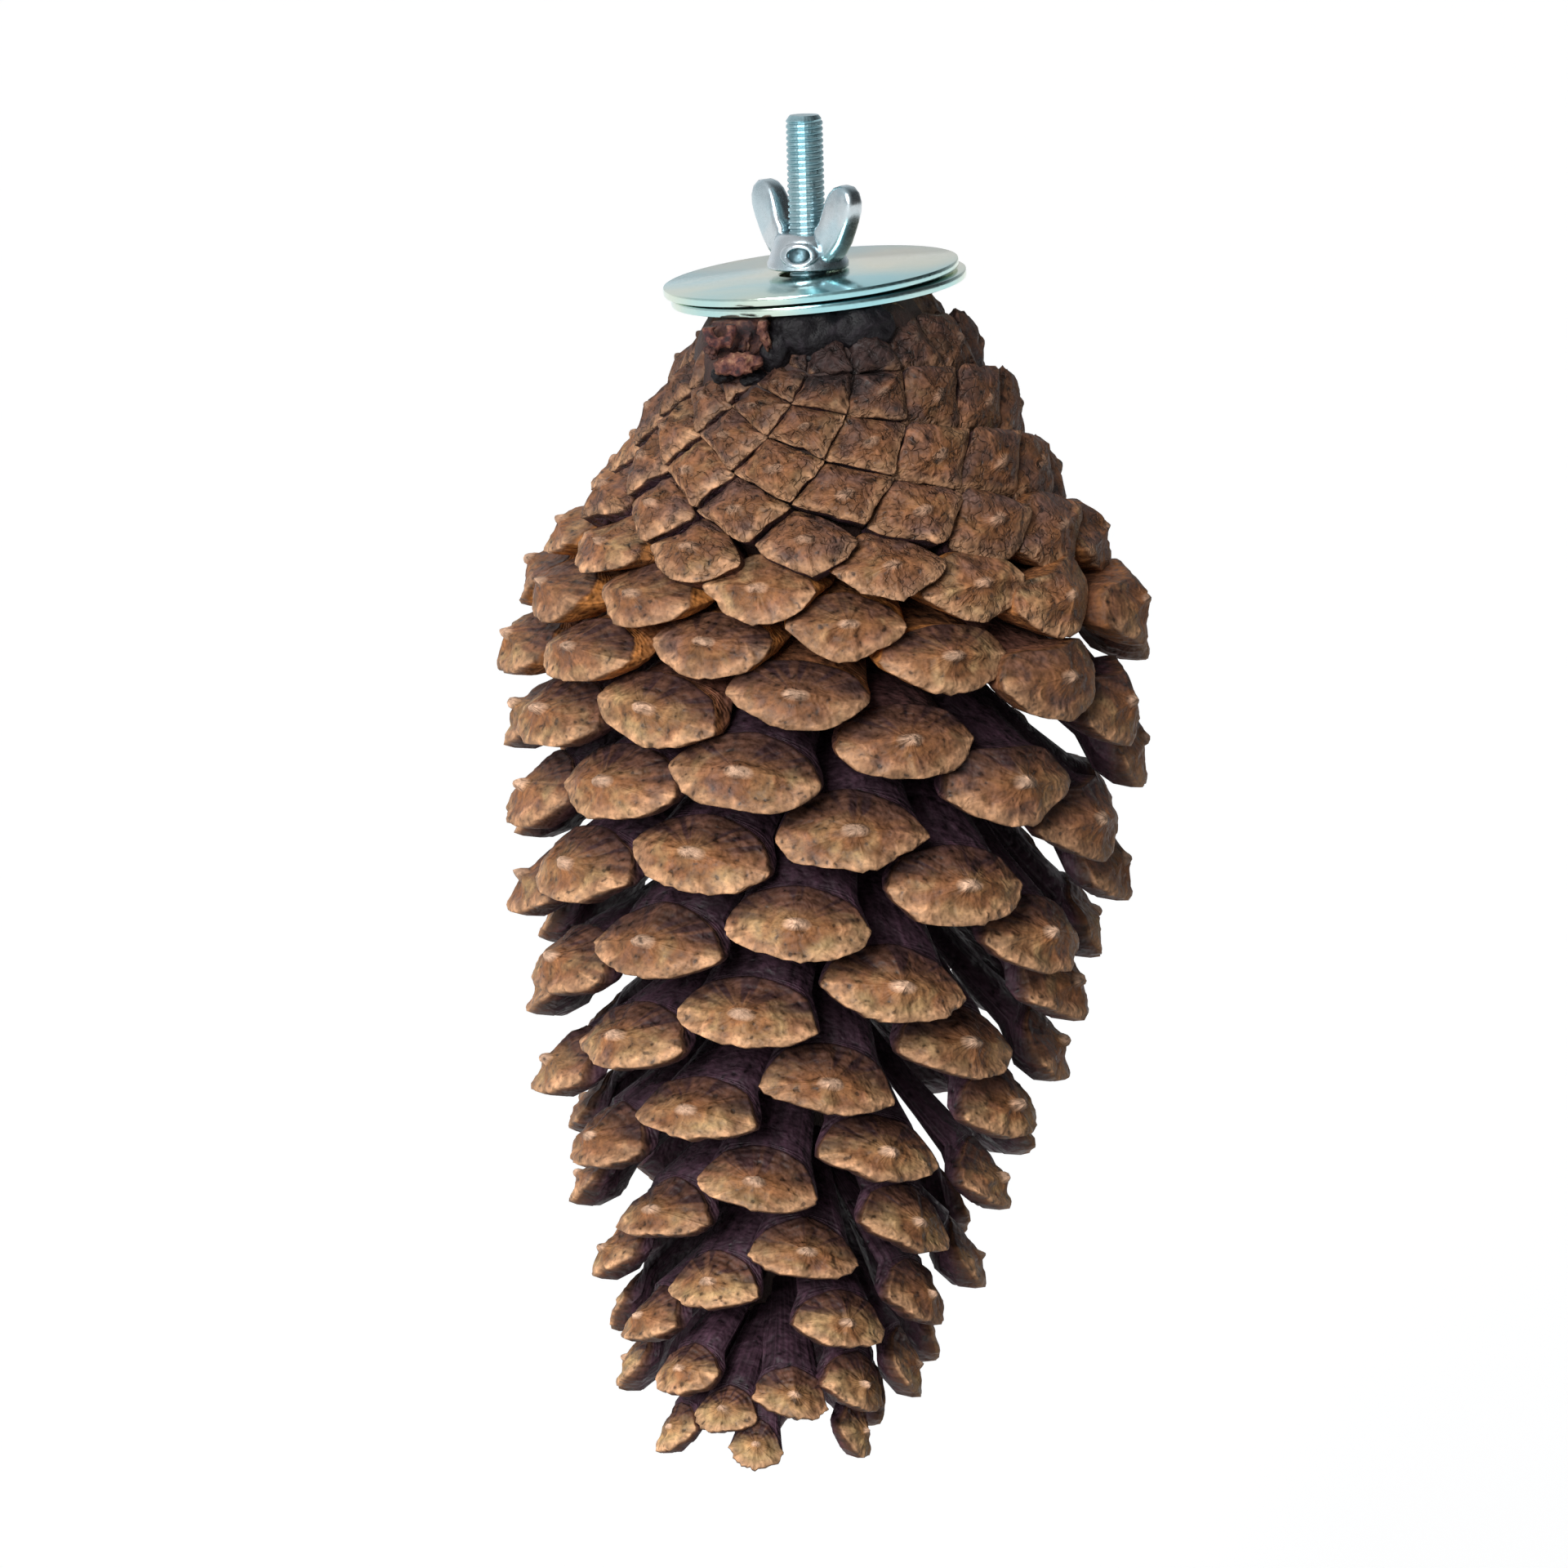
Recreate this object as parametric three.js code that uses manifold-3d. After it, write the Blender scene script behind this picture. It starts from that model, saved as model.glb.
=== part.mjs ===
// Pine cone on a hanger bolt. The long cone hangs stem end up, cut flat at the
// top; the bolt is screwed into it and a wing nut clamps two wide washers, with
// the cage bar that carries it between them. Millimetres, +Z up, the front at -Y.
// The origin is on the bolt's axis, halfway between the two washers.

import * as THREE from 'three';
import { mergeVertices } from 'three/addons/utils/BufferGeometryUtils.js';
import Module from 'manifold-3d';

const wasm = await Module();
wasm.setup();

// Cone: its curved axis from the stem pole to the tip, as a cubic Bezier curve
const AXIS_STEM = [-2.7, -10.6, 1.0];
const AXIS_STEM_HANDLE = [7.0, 2.4, -7.6];
const AXIS_TIP_HANDLE = [-1.4, 15.0, -108.1];
const AXIS_TIP = [-12.3, -14.8, -161.9];

// Scales in the order they grew: station along the axis curve of scale n
const STATION_OF_SCALE = [[0, 0], [20, 0.065], [40, 0.153], [60, 0.234], [80, 0.296], [100, 0.369],
  [120, 0.464], [140, 0.574], [160, 0.69], [180, 0.811], [200, 0.928], [221, 1]];
// Distance of the knobs on the scales from the axis, by station
const KNOB_RADIUS = [[0, 7.6], [0.08, 17.7], [0.18, 22.1], [0.3, 31.5], [0.42, 40.2], [0.56, 41.5],
  [0.7, 34.7], [0.85, 24.2], [1, 14.1]];
// How much further out the knobs stand on the right and on the left side, by station
const RIGHT_SWELL = [[0, -5], [0.06, -5], [0.12, -3.6], [0.15, -0.4], [0.2, 0.9], [0.28, 0.7],
  [0.31, 1.3], [0.345, 2.4], [0.4, 4], [0.46, 2.8], [0.6, 2], [0.8, 1.2], [0.9, 0]];
const LEFT_SWELL = [[0, -5], [0.06, -5.5], [0.13, -5], [0.16, -2.6], [0.2, -1], [0.25, -2.6],
  [0.3, 0.4], [0.34, 2.8], [0.4, 3.8], [0.46, 0.6], [0.53, -0.8], [0.6, 0.6], [0.8, 1.5], [0.9, 0]];
// How many degrees the scales of the two sides are turned on round the cone, by station
const RIGHT_TURN = [[0.38, 0], [0.42, 5], [0.46, 4.5], [0.52, 1], [0.58, 2], [0.66, 0]];
const LEFT_TURN = [[0.22, 0], [0.3, 6], [0.4, 6], [0.5, 5], [0.56, 2], [0.62, 0]];
// Where the right side opened late, its scales sit nearer to the stem, by scale
const LATE_SCALES = [[80, 0], [94, 0.008], [107, 0.018], [115, 0.024], [120, 0.018], [133, 0.016],
  [154, 0.016], [167, 0.012], [180, 0]];
// The spiral is wound a little tighter or slacker along the cone, in degrees
const SPIRAL_DRIFT = [[0, -9.2], [0.35, 0], [0.7, 12.2], [0.85, 6.1], [1, 5.3]];
const GOLDEN_ANGLE = 137.508;
const FRONT_SCALE = 130;
const FRONT_ANGLE = -0.95;
const FIRST_SCALE = 3;
const STEM_SCALES = 22;
const STEM_PITCH = 0.002;
const LAST_SCALE = 219;
const LOST_SCALES = [198, 204, 205, 207, 208, 210, 212, 213, 214, 215, 217, 218];

// Closed scales, from the stem: pyramids that fit together with grooves between
const LAST_CLOSED_SCALE = 82;
const FIRST_PARTED_SCALE = 78;
const OPEN_FROM = 104;
const GROOVE_DEPTH = 3;
const GROOVE_SHARE = 0.05;
// From here on a closed scale's lower side is even, with its lowest corner under the knob
const EVEN_FROM = 58;
const EVEN_BY = 78;
// On the right side the scales stand out in steps, with upright faces, from one scale to another
const STEP_FROM = 20;
const STEP_BY = 50;
const STEP_SLOPE = 0.62;

// Open scales, by scale: droop of the blade below square to the axis and how much
// steeper it is at the root, in degrees; then half width and height of the swollen end
const BLADE_DROOP = [[85, 0], [100, 8], [115, 18], [130, 27], [150, 33], [170, 38], [190, 50],
  [205, 64], [220, 76]];
const ROOT_DROOP = [[120, 22], [160, 20], [190, 0], [220, -26]];
const END_HALF_WIDTH = [[80, 7.4], [100, 8.6], [115, 9.8], [130, 10.4], [151, 10], [164, 9.3],
  [177, 8.2], [190, 7.1], [205, 5.2], [220, 3.4]];
const RIM_DROP = [[60, 5], [100, 5.8], [130, 6.1], [150, 5.5], [165, 4.8], [180, 4.2], [220, 3.6]];
const RIM_LEAN = [[80, 6], [110, 14], [150, 16], [180, 18], [220, 6]];
const NECK_DEPTH = 9.2;
const ROOT_SUNK_SHARE = 0.75;

// Woody core that the scales grow from, by station
const CORE_RADIUS = [[0.2, 14], [0.3, 22], [0.36, 19], [0.43, 12.5], [0.5, 9.5], [0.7, 7.5],
  [0.85, 5.5], [0.93, 3.8]];
const CORE_START = 0.2;
const CORE_END = 0.93;
const CORE_SIDES = 10;
const CORE_STEPS = 11;

// Scar where the stem broke off
const SCAR_CENTRE = [-9.5, -18.5, -5.5];
const SCAR_RADIUS = 5.5;

// Washers: 40 mm repair washers, tilted on the bolt and not quite in line
const WASHER_RADIUS = 20;
const WASHER_HOLE_RADIUS = 4.25;
const WASHER_THICKNESS = 1.2;
const WASHER_TILT = 4.5;
const WASHER_NOD = 2;
const LOWER_WASHER_SHIFT = 1.3;
const UPPER_WASHER_SHIFT = 0.4;
const RUNNING_GAP = 0.3;
const WASHER_SIDES = 48;

// Hanger bolt: M5 machine thread above, wood screw below
const BOLT_RADIUS = 2.5;
const BOLT_TOP = 22.5;
const BOLT_END_RADIUS = 1.9;
const BOLT_CHAMFER = 0.8;
const SCREW_TAPER_START = -27;
const SCREW_POINT = -36;
const BOLT_SIDES = 24;
const BORE_RADIUS = 2.82;
const BORE_BELOW_POINT = 1.2;

// Wing nut
const NUT_BOTTOM = 2.1;
const NUT_HEIGHT = 6;
const NUT_BASE_RADIUS = 5.5;
const NUT_TOP_RADIUS = 4.3;
const WING_THICKNESS = 2.4;
const WING_TURN = -48;

const degrees = THREE.MathUtils.degToRad;

// Smooth curve through a short list of [position, value] pairs
function along(list, x) {
  if (x <= list[0][0]) return list[0][1];
  const last = list.length - 1;
  if (x >= list[last][0]) return list[last][1];
  let i = 0;
  while (x > list[i + 1][0]) i += 1;
  const slope = (k) => {
    const a = list[Math.max(k - 1, 0)];
    const b = list[Math.min(k + 1, last)];
    return (b[1] - a[1]) / (b[0] - a[0]);
  };
  const step = list[i + 1][0] - list[i][0];
  const u = (x - list[i][0]) / step;
  const rise = list[i + 1][1] - list[i][1];
  const near = slope(i) * step - rise;
  const far = rise - slope(i + 1) * step;
  return list[i][1] + rise * u + u * (1 - u) * (near * (1 - u) + far * u);
}

// Repeatable scatter from -1 to 1 for scale n; each kind of scatter has its own number
function scatter(n, kind) {
  const wave = Math.sin(n * 12.9898 + kind * 78.233) * 43758.5453;
  return (wave - Math.floor(wave)) * 2 - 1;
}

const axisCurve = new THREE.CubicBezierCurve3(
  ...[AXIS_STEM, AXIS_STEM_HANDLE, AXIS_TIP_HANDLE, AXIS_TIP].map((p) => new THREE.Vector3(...p)),
);

// Direction of the axis at a station, and how many mm one unit of station is there
function axisRun(station) {
  const e = 1e-3;
  const a = axisCurve.getPoint(Math.max(station - e, 0));
  const b = axisCurve.getPoint(Math.min(station + e, 1));
  const run = b.sub(a).divideScalar(Math.min(station + e, 1) - Math.max(station - e, 0));
  return { speed: run.length(), tangent: run.normalize() };
}

// Axis point, outward and sideways directions at a station and an angle round the cone
function ringFrame(station, angle) {
  const held = THREE.MathUtils.clamp(station, 0, 1);
  const { tangent, speed } = axisRun(held);
  const across = new THREE.Vector3(1, 0, 0).addScaledVector(tangent, -tangent.x).normalize();
  const front = new THREE.Vector3().crossVectors(tangent, across);
  const out = across.clone().multiplyScalar(Math.sin(angle)).addScaledVector(front, Math.cos(angle));
  const side = across.clone().multiplyScalar(Math.cos(angle)).addScaledVector(front, -Math.sin(angle));
  const centre = axisCurve.getPoint(held).addScaledVector(tangent, (station - held) * speed);
  return { centre, tangent, out, side, speed };
}

function scaleAngle(n, station) {
  return degrees(FRONT_ANGLE + GOLDEN_ANGLE * (n - FRONT_SCALE) + along(SPIRAL_DRIFT, station));
}

// Knob of scale n: its station, angle and distance from the axis
function knob(n) {
  const station = along(STATION_OF_SCALE, n) + STEM_PITCH * Math.min(n, 0);
  const wound = scaleAngle(n, station);
  const right = Math.max(Math.sin(wound), 0) ** 2;
  const left = Math.max(-Math.sin(wound), 0) ** 2;
  const angle = wound + degrees(right * along(RIGHT_TURN, station) + left * along(LEFT_TURN, station));
  const plain = along(KNOB_RADIUS, station) * Math.max(0, 1 + Math.min(n, 0) / STEM_SCALES);
  const radius = plain + right * along(RIGHT_SWELL, station) + left * along(LEFT_SWELL, station);
  return { station: station - right * along(LATE_SCALES, n), angle, radius };
}

// Point beside scale n: sideways, down towards the tip, and out from the axis
function pointBeside(place, sideways, down, out) {
  const station = place.station + down / ringFrame(place.station, 0).speed;
  const frame = ringFrame(station, place.angle);
  return frame.centre.addScaledVector(frame.side, sideways).addScaledVector(frame.out, out);
}

function knobPoint(n) {
  const place = knob(n);
  return pointBeside(place, 0, 0, place.radius);
}

// Direction square to the cone's surface at a knob, from the knobs round it
function surfaceOut(n) {
  const across = knobPoint(n - 5).sub(knobPoint(n + 5));
  const down = knobPoint(n + 21).sub(knobPoint(Math.max(n - 21, -15)));
  return down.cross(across).normalize();
}

// Point of the closed surface where scales n, n + 8, n + 13 and n + 21 meet
function meetingPoint(n) {
  const middle = new THREE.Vector3();
  for (const step of [0, 8, 13, 21]) middle.addScaledVector(knobPoint(n + step), 0.25);
  return middle;
}

// How much scale n stands out as a step: only on the right side of the cone
function stepped(n) {
  const side = THREE.MathUtils.smoothstep(Math.sin(knob(n).angle), 0.25, 0.85);
  return side * THREE.MathUtils.smoothstep(n, STEP_FROM, STEP_BY);
}

// Eight points of the closed surface round scale n, from its left corner by its lower side
function cellOutline(n) {
  const corners = [n - 8, n, n - 13, n - 21];
  return corners.flatMap((corner, i) => {
    const point = meetingPoint(corner);
    const next = meetingPoint(corners[(i + 1) % 4]);
    return [point, point.clone().lerp(next, 0.5)];
  });
}

// Names of the eight groove points, so that neighbours share them
function grooveNames(n) {
  return [`c${n - 8}`, `s${n}`, `c${n}`, `t${n}`, `c${n - 13}`, `s${n - 13}`, `c${n - 21}`, `t${n - 8}`];
}

// How high the eight rim points stand over the smooth surface, in the same order
const RIM_HEIGHTS = [-1, -0.1, 0.5, -0.1, -1, -2.1, -2.6, -2.1];

// Lower side of an even rim: sideways and down from the knob, and out
const EVEN_RIM = [[-1, 0.1, -1], [-0.6, 0.66, -0.2], [0, 1, 0.6], [0.6, 0.66, -0.2], [1, 0.1, -1]];

function closedRim(n) {
  const middle = knobPoint(n);
  const out = surfaceOut(n);
  const rim = cellOutline(n).map((point, i) => (
    point.lerp(middle, GROOVE_SHARE).addScaledVector(out, RIM_HEIGHTS[i])
  ));
  const even = THREE.MathUtils.smoothstep(n, EVEN_FROM, EVEN_BY);
  if (even > 0) {
    const down = knobPoint(n + 34).sub(middle);
    down.addScaledVector(out, -down.dot(out)).normalize();
    const side = new THREE.Vector3().crossVectors(out, down);
    const half = 0.46 * Math.abs(rim[0].clone().sub(rim[4]).dot(side));
    const drop = 0.96 * along(RIM_DROP, n);
    EVEN_RIM.forEach(([sideways, low, high], k) => {
      const spot = middle.clone().addScaledVector(side, half * (sideways + 0.08 * scatter(n, 20 + k)));
      rim[k].lerp(spot.addScaledVector(down, drop * low).addScaledVector(out, high), even);
    });
  }
  // The upper side of a stepped scale moves out and its lower side in
  const up = new THREE.Vector3(0, 0, 1).addScaledVector(out, -out.z);
  const slope = STEP_SLOPE * stepped(n);
  return rim.map((p) => p.addScaledVector(out, p.clone().sub(middle).dot(up) * slope));
}

// The closed scales as one solid: a knob, a rim and the shared grooves for each
function closedSolid() {
  const points = [];
  const triangles = [];
  const grooves = new Map();
  const groovePoint = (name, point, out) => {
    if (!grooves.has(name)) grooves.set(name, points.push(point.addScaledVector(out, -GROOVE_DEPTH)) - 1);
    return grooves.get(name);
  };
  const stemEnd = points.push(ringFrame(-0.01, 0).centre) - 1;
  const inside = points.push(axisCurve.getPoint(CORE_START)) - 1;
  for (let n = FIRST_SCALE; n <= LAST_CLOSED_SCALE; n += 1) {
    const out = surfaceOut(n);
    const outline = cellOutline(n);
    const names = grooveNames(n);
    const tip = points.push(knobPoint(n).addScaledVector(out, 0.3 - 0.4 * stepped(n))) - 1;
    const rim = closedRim(n).map((p) => points.push(p) - 1);
    const groove = outline.map((point, i) => groovePoint(names[i], point, out));
    for (let i = 0; i < 8; i += 1) {
      const j = (i + 1) % 8;
      triangles.push([tip, rim[i], rim[j]]);
      triangles.push([rim[i], groove[i], groove[j]], [rim[i], groove[j], rim[j]]);
      const neighbour = n + [13, 13, 8, 8, -13, -13, -8, -8][i];
      if (neighbour < FIRST_SCALE) triangles.push([groove[j], groove[i], stemEnd]);
      if (neighbour > LAST_CLOSED_SCALE) triangles.push([groove[j], groove[i], inside]);
    }
  }
  return solidFrom(points, triangles);
}

// One parted or open scale: its knob, then rings of eight points from the rim to the root
function scaleRings(n) {
  const place = knob(n);
  const open = THREE.MathUtils.smoothstep(n, FIRST_PARTED_SCALE, OPEN_FROM);
  place.radius += open * scatter(n, 1);
  const halfWidth = along(END_HALF_WIDTH, n) * (1 + 0.04 * scatter(n, 2));
  const rimDrop = along(RIM_DROP, n) * (1 + 0.06 * scatter(n, 5));
  const droop = degrees(along(BLADE_DROOP, n) + 4 * open * scatter(n, 3));
  const steeper = degrees(along(ROOT_DROOP, n));
  const roll = degrees(5 * open * scatter(n, 4));
  const block = stepped(n) * THREE.MathUtils.smoothstep(-n, -165, -120);
  const lean = degrees(along(RIM_LEAN, n) * (1 - 0.8 * block));

  // A point from the knob: sideways, down the rim's face and out, turned by the scale's roll
  const facePoint = (sideways, drop, forward) => pointBeside(
    place,
    sideways * Math.cos(roll) - drop * Math.sin(roll),
    (sideways * Math.sin(roll) + drop * Math.cos(roll)) * Math.cos(lean) - forward * Math.sin(lean),
    place.radius + drop * Math.sin(lean) + forward * Math.cos(lean),
  );
  // A point of the blade at a place on its midline: sideways, and up or down square to the blade
  const bladePoint = (mid, slope, sideways, below) => pointBeside(
    place,
    sideways * Math.cos(roll) - below * Math.sin(roll),
    mid.down + (sideways * Math.sin(roll) + below * Math.cos(roll)) * Math.cos(slope),
    mid.out - (sideways * Math.sin(roll) + below * Math.cos(roll)) * Math.sin(slope),
  );
  const section = (mid, slope, half, above, below) => [
    [-half, 0], [-0.75 * half, 0.7 * below], [0, below], [0.75 * half, 0.7 * below],
    [half, 0], [0.5 * half, -0.62 * above], [0, -above], [-0.5 * half, -0.62 * above],
  ].map(([sideways, drop]) => bladePoint(mid, slope, sideways, drop));

  const walk = { down: 0.42 * rimDrop, out: place.radius - 0.5 };
  const coreHere = () => along(CORE_RADIUS, place.station + walk.down / ringFrame(place.station, 0).speed);
  let depth = 0;
  let slope = droop;
  const advance = (distance) => {
    const goal = depth + distance;
    while (depth < goal && walk.out > (1 - ROOT_SUNK_SHARE) * coreHere()) {
      slope = droop + steeper * Math.min(1, depth / 36);
      walk.down -= 0.5 * Math.sin(slope);
      walk.out -= 0.5 * Math.cos(slope);
      depth += 0.5;
    }
  };
  const size = halfWidth / 10.4;
  advance(NECK_DEPTH * (0.4 + 0.6 * size));
  // The scales that have just parted still lie side by side
  const wide = 0.2 * THREE.MathUtils.smoothstep(-n, -124, -98);
  const neck = section(walk, slope, (0.72 + wide) * halfWidth, 2.3 * size + 0.7, 1.7 * size + 0.6);
  const tip = facePoint(0, -0.1, 0.35);
  const rise = facePoint(0, -1, 0).sub(facePoint(0, 0, 0)).normalize();
  const ridge = tip.clone().lerp(neck[6], 0.7 - 0.5 * block);
  ridge.addScaledVector(rise, (0.7 + 2.4 * block) * size);
  const shoulder = (side, k) => (
    facePoint(side * halfWidth, 0.12 * rimDrop, -0.3 * halfWidth).lerp(neck[k], 0.42 - 0.1 * block)
      .lerp(ridge, 0.2).addScaledVector(rise, 0.9 * size)
  );
  let rim = [
    facePoint(-halfWidth, 0.12 * rimDrop, -0.3 * halfWidth),
    facePoint(-0.62 * halfWidth, 0.78 * rimDrop, -0.1 * halfWidth),
    facePoint(0, rimDrop, 0),
    facePoint(0.62 * halfWidth, 0.78 * rimDrop, -0.1 * halfWidth),
    facePoint(halfWidth, 0.12 * rimDrop, -0.3 * halfWidth),
    shoulder(1, 5), ridge, shoulder(-1, 7),
  ];
  if (open < 1) rim = closedRim(n).map((p, i) => p.lerp(rim[i], open));
  advance(80);
  const root = bladePoint(walk, slope, 0, 0);
  return { tip, rings: [rim, neck], root };
}

// Manifold solid from points and triangles that share their points
function solidFrom(points, triangles) {
  const vertProperties = new Float32Array(points.flatMap((p) => [p.x, p.y, p.z]));
  const triVerts = new Uint32Array(triangles.flat());
  return new wasm.Manifold(new wasm.Mesh({ numProp: 3, vertProperties, triVerts }));
}

// Manifold solid from a closed three.js geometry
function solidOf(geometry) {
  const plain = geometry.index ? geometry.toNonIndexed() : geometry.clone();
  plain.deleteAttribute('normal');
  plain.deleteAttribute('uv');
  const merged = mergeVertices(plain, 1e-3);
  const place = merged.attributes.position;
  const points = Array.from({ length: place.count }, (_, i) => (
    new THREE.Vector3().fromBufferAttribute(place, i)
  ));
  const triangles = [];
  for (let i = 0; i < merged.index.count; i += 3) {
    const t = [merged.index.getX(i), merged.index.getX(i + 1), merged.index.getX(i + 2)];
    if (t[0] !== t[1] && t[1] !== t[2] && t[2] !== t[0]) triangles.push(t);
  }
  return solidFrom(points, triangles);
}

// Loft through rings of equal count, with a point or a flat cap at each end
function loft(rings, startPoint, endPoint) {
  const count = rings[0].length;
  const points = rings.flat();
  const start = points.push(startPoint) - 1;
  const end = points.push(endPoint) - 1;
  const lastRing = (rings.length - 1) * count;
  const triangles = [];
  for (let i = 0; i < count; i += 1) {
    const j = (i + 1) % count;
    triangles.push([start, i, j]);
    triangles.push([end, lastRing + j, lastRing + i]);
    for (let k = 0; k < rings.length - 1; k += 1) {
      const a = k * count;
      const b = a + count;
      triangles.push([a + j, a + i, b + i], [a + j, b + i, b + j]);
    }
  }
  const solid = solidFrom(points, triangles);
  return solid.volume() > 0 ? solid : solidFrom(points, triangles.map(([a, b, c]) => [a, c, b]));
}

function scaleSolid(n) {
  const { tip, rings, root } = scaleRings(n);
  return loft(rings, tip, root);
}

function coreSolid() {
  const rings = [];
  for (let k = 0; k <= CORE_STEPS; k += 1) {
    const station = CORE_START + ((CORE_END - CORE_START) * k) / CORE_STEPS;
    const radius = along(CORE_RADIUS, station);
    rings.push(Array.from({ length: CORE_SIDES }, (_, i) => {
      const frame = ringFrame(station, (i * 2 * Math.PI) / CORE_SIDES);
      return frame.centre.addScaledVector(frame.out, radius);
    }));
  }
  const top = ringFrame(CORE_START, 0);
  const tip = ringFrame(CORE_END, 0);
  return loft(rings, top.centre, tip.centre.addScaledVector(tip.tangent, 2.5));
}

// Everything above the underside of the lower washer, as a tilted block
function aboveCut() {
  const block = new THREE.BoxGeometry(120, 120, 60);
  block.translate(0, 0, 30 - WASHER_THICKNESS - 1.5 * RUNNING_GAP);
  block.rotateX(degrees(WASHER_NOD)).rotateY(degrees(-WASHER_TILT));
  return solidOf(block);
}

// Solid turned about Z from a short outline of [radius, height] points
function turned(outline, sides) {
  const lathe = new THREE.LatheGeometry(outline.map(([x, y]) => new THREE.Vector2(x, y)), sides);
  return lathe.rotateX(Math.PI / 2);
}

// The bolt's own form below, or the hole for it, which is wider and runs on below the point
function screwRod(radius, top, below, sides) {
  const taper = SCREW_TAPER_START - 0.4 * below;
  return turned([[0, SCREW_POINT - below], [radius, taper], [radius, top], [0, top]], sides);
}

function geometryOf(solid) {
  const mesh = solid.getMesh();
  const points = new Float32Array((mesh.vertProperties.length / mesh.numProp) * 3);
  for (let i = 0; i < points.length / 3; i += 1) {
    for (let k = 0; k < 3; k += 1) points[i * 3 + k] = mesh.vertProperties[i * mesh.numProp + k];
  }
  const geometry = new THREE.BufferGeometry();
  geometry.setAttribute('position', new THREE.BufferAttribute(points, 3));
  geometry.setIndex(Array.from(mesh.triVerts));
  geometry.computeVertexNormals();
  return geometry;
}

function coneGeometry() {
  const numbers = Array.from({ length: LAST_SCALE - LAST_CLOSED_SCALE }, (_, i) => LAST_CLOSED_SCALE + 1 + i);
  const scales = numbers.filter((n) => !LOST_SCALES.includes(n)).map(scaleSolid);
  let cone = wasm.Manifold.union([coreSolid(), closedSolid(), ...scales]);
  const scar = new THREE.IcosahedronGeometry(SCAR_RADIUS, 1).translate(...SCAR_CENTRE);
  cone = cone.subtract(solidOf(scar)).subtract(aboveCut());
  const hole = screwRod(BORE_RADIUS, 10, BORE_BELOW_POINT, 16);
  cone = cone.subtract(solidOf(hole));
  const bodies = cone.decompose().sort((a, b) => b.volume() - a.volume());
  return geometryOf(bodies[0]);
}

function boltGeometry() {
  return turned([[0, SCREW_POINT], [BOLT_RADIUS, SCREW_TAPER_START], [BOLT_RADIUS, BOLT_TOP - BOLT_CHAMFER],
    [BOLT_END_RADIUS, BOLT_TOP], [0, BOLT_TOP]], BOLT_SIDES);
}

function washerGeometry() {
  const half = WASHER_THICKNESS / 2;
  return turned([[WASHER_HOLE_RADIUS, -half], [WASHER_RADIUS, -half], [WASHER_RADIUS, half],
    [WASHER_HOLE_RADIUS, half], [WASHER_HOLE_RADIUS, -half]], WASHER_SIDES);
}

// Wing seen from its broad side: out from the bolt's axis, and up from the nut's base
function wingOutline() {
  const wing = new THREE.Shape();
  wing.moveTo(3.2, 0.6);
  wing.lineTo(5.4, 0.6);
  wing.quadraticCurveTo(7.6, 2.2, 9.2, 6);
  wing.bezierCurveTo(10.8, 8.6, 10.2, 11.2, 7.8, 11.4);
  wing.bezierCurveTo(5.8, 11.5, 4.9, 10, 4.3, 8);
  wing.lineTo(3.4, NUT_HEIGHT - 0.5);
  wing.closePath();
  return wing;
}

function wingNutGeometry() {
  let nut = solidOf(turned([[0, 0], [NUT_BASE_RADIUS, 0], [NUT_BASE_RADIUS, 1], [NUT_TOP_RADIUS, NUT_HEIGHT],
    [0, NUT_HEIGHT]], 24));
  for (const turn of [0, Math.PI]) {
    const wing = new THREE.ExtrudeGeometry(wingOutline(), {
      depth: WING_THICKNESS, bevelEnabled: false, curveSegments: 5,
    });
    wing.translate(0, 0, -WING_THICKNESS / 2).rotateX(Math.PI / 2).rotateZ(turn);
    nut = nut.add(solidOf(wing));
  }
  const bore = new THREE.CylinderGeometry(BORE_RADIUS, BORE_RADIUS, 4 * NUT_HEIGHT, 16);
  nut = nut.subtract(solidOf(bore.rotateX(Math.PI / 2)));
  return geometryOf(nut);
}

function piece(name, geometry, colour, roughness, metalness) {
  const material = new THREE.MeshStandardMaterial({ color: colour, roughness, metalness });
  const mesh = new THREE.Mesh(geometry, material);
  mesh.name = name;
  return mesh;
}

const cone = piece('pine_cone', coneGeometry(), 0x7d5535, 0.8, 0);
const bolt = piece('hanger_bolt', boltGeometry(), 0x9fb6c3, 0.32, 1);
const lowerWasher = piece('lower_washer', washerGeometry(), 0xc9d2d0, 0.28, 1);
const upperWasher = piece('upper_washer', washerGeometry(), 0xc3d4cf, 0.28, 1);
const wingNut = piece('wing_nut', wingNutGeometry(), 0xb9c9d4, 0.3, 1);

const washerLift = (WASHER_THICKNESS + RUNNING_GAP) / 2;
lowerWasher.position.set(LOWER_WASHER_SHIFT, 0, -washerLift);
upperWasher.position.set(UPPER_WASHER_SHIFT, 0, washerLift);
const washers = new THREE.Group();
washers.rotation.set(degrees(WASHER_NOD), degrees(-WASHER_TILT), 0, 'YXZ');
washers.add(lowerWasher, upperWasher);

wingNut.position.z = NUT_BOTTOM;
wingNut.rotation.z = degrees(WING_TURN);

const hangingCone = new THREE.Group();
hangingCone.add(cone, bolt, washers, wingNut);
export default hangingCone;
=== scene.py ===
"""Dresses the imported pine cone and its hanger: scales, core, stem scar, bolt, washers and wing nut.

Sizes in the formulas are in millimetres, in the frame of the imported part: +Z up along the bolt,
the front at -Y. Each finished mesh is turned to metres once, when its piece is made.
"""

import math

import bmesh
import bpy
from mathutils import Matrix, Vector, noise


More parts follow.
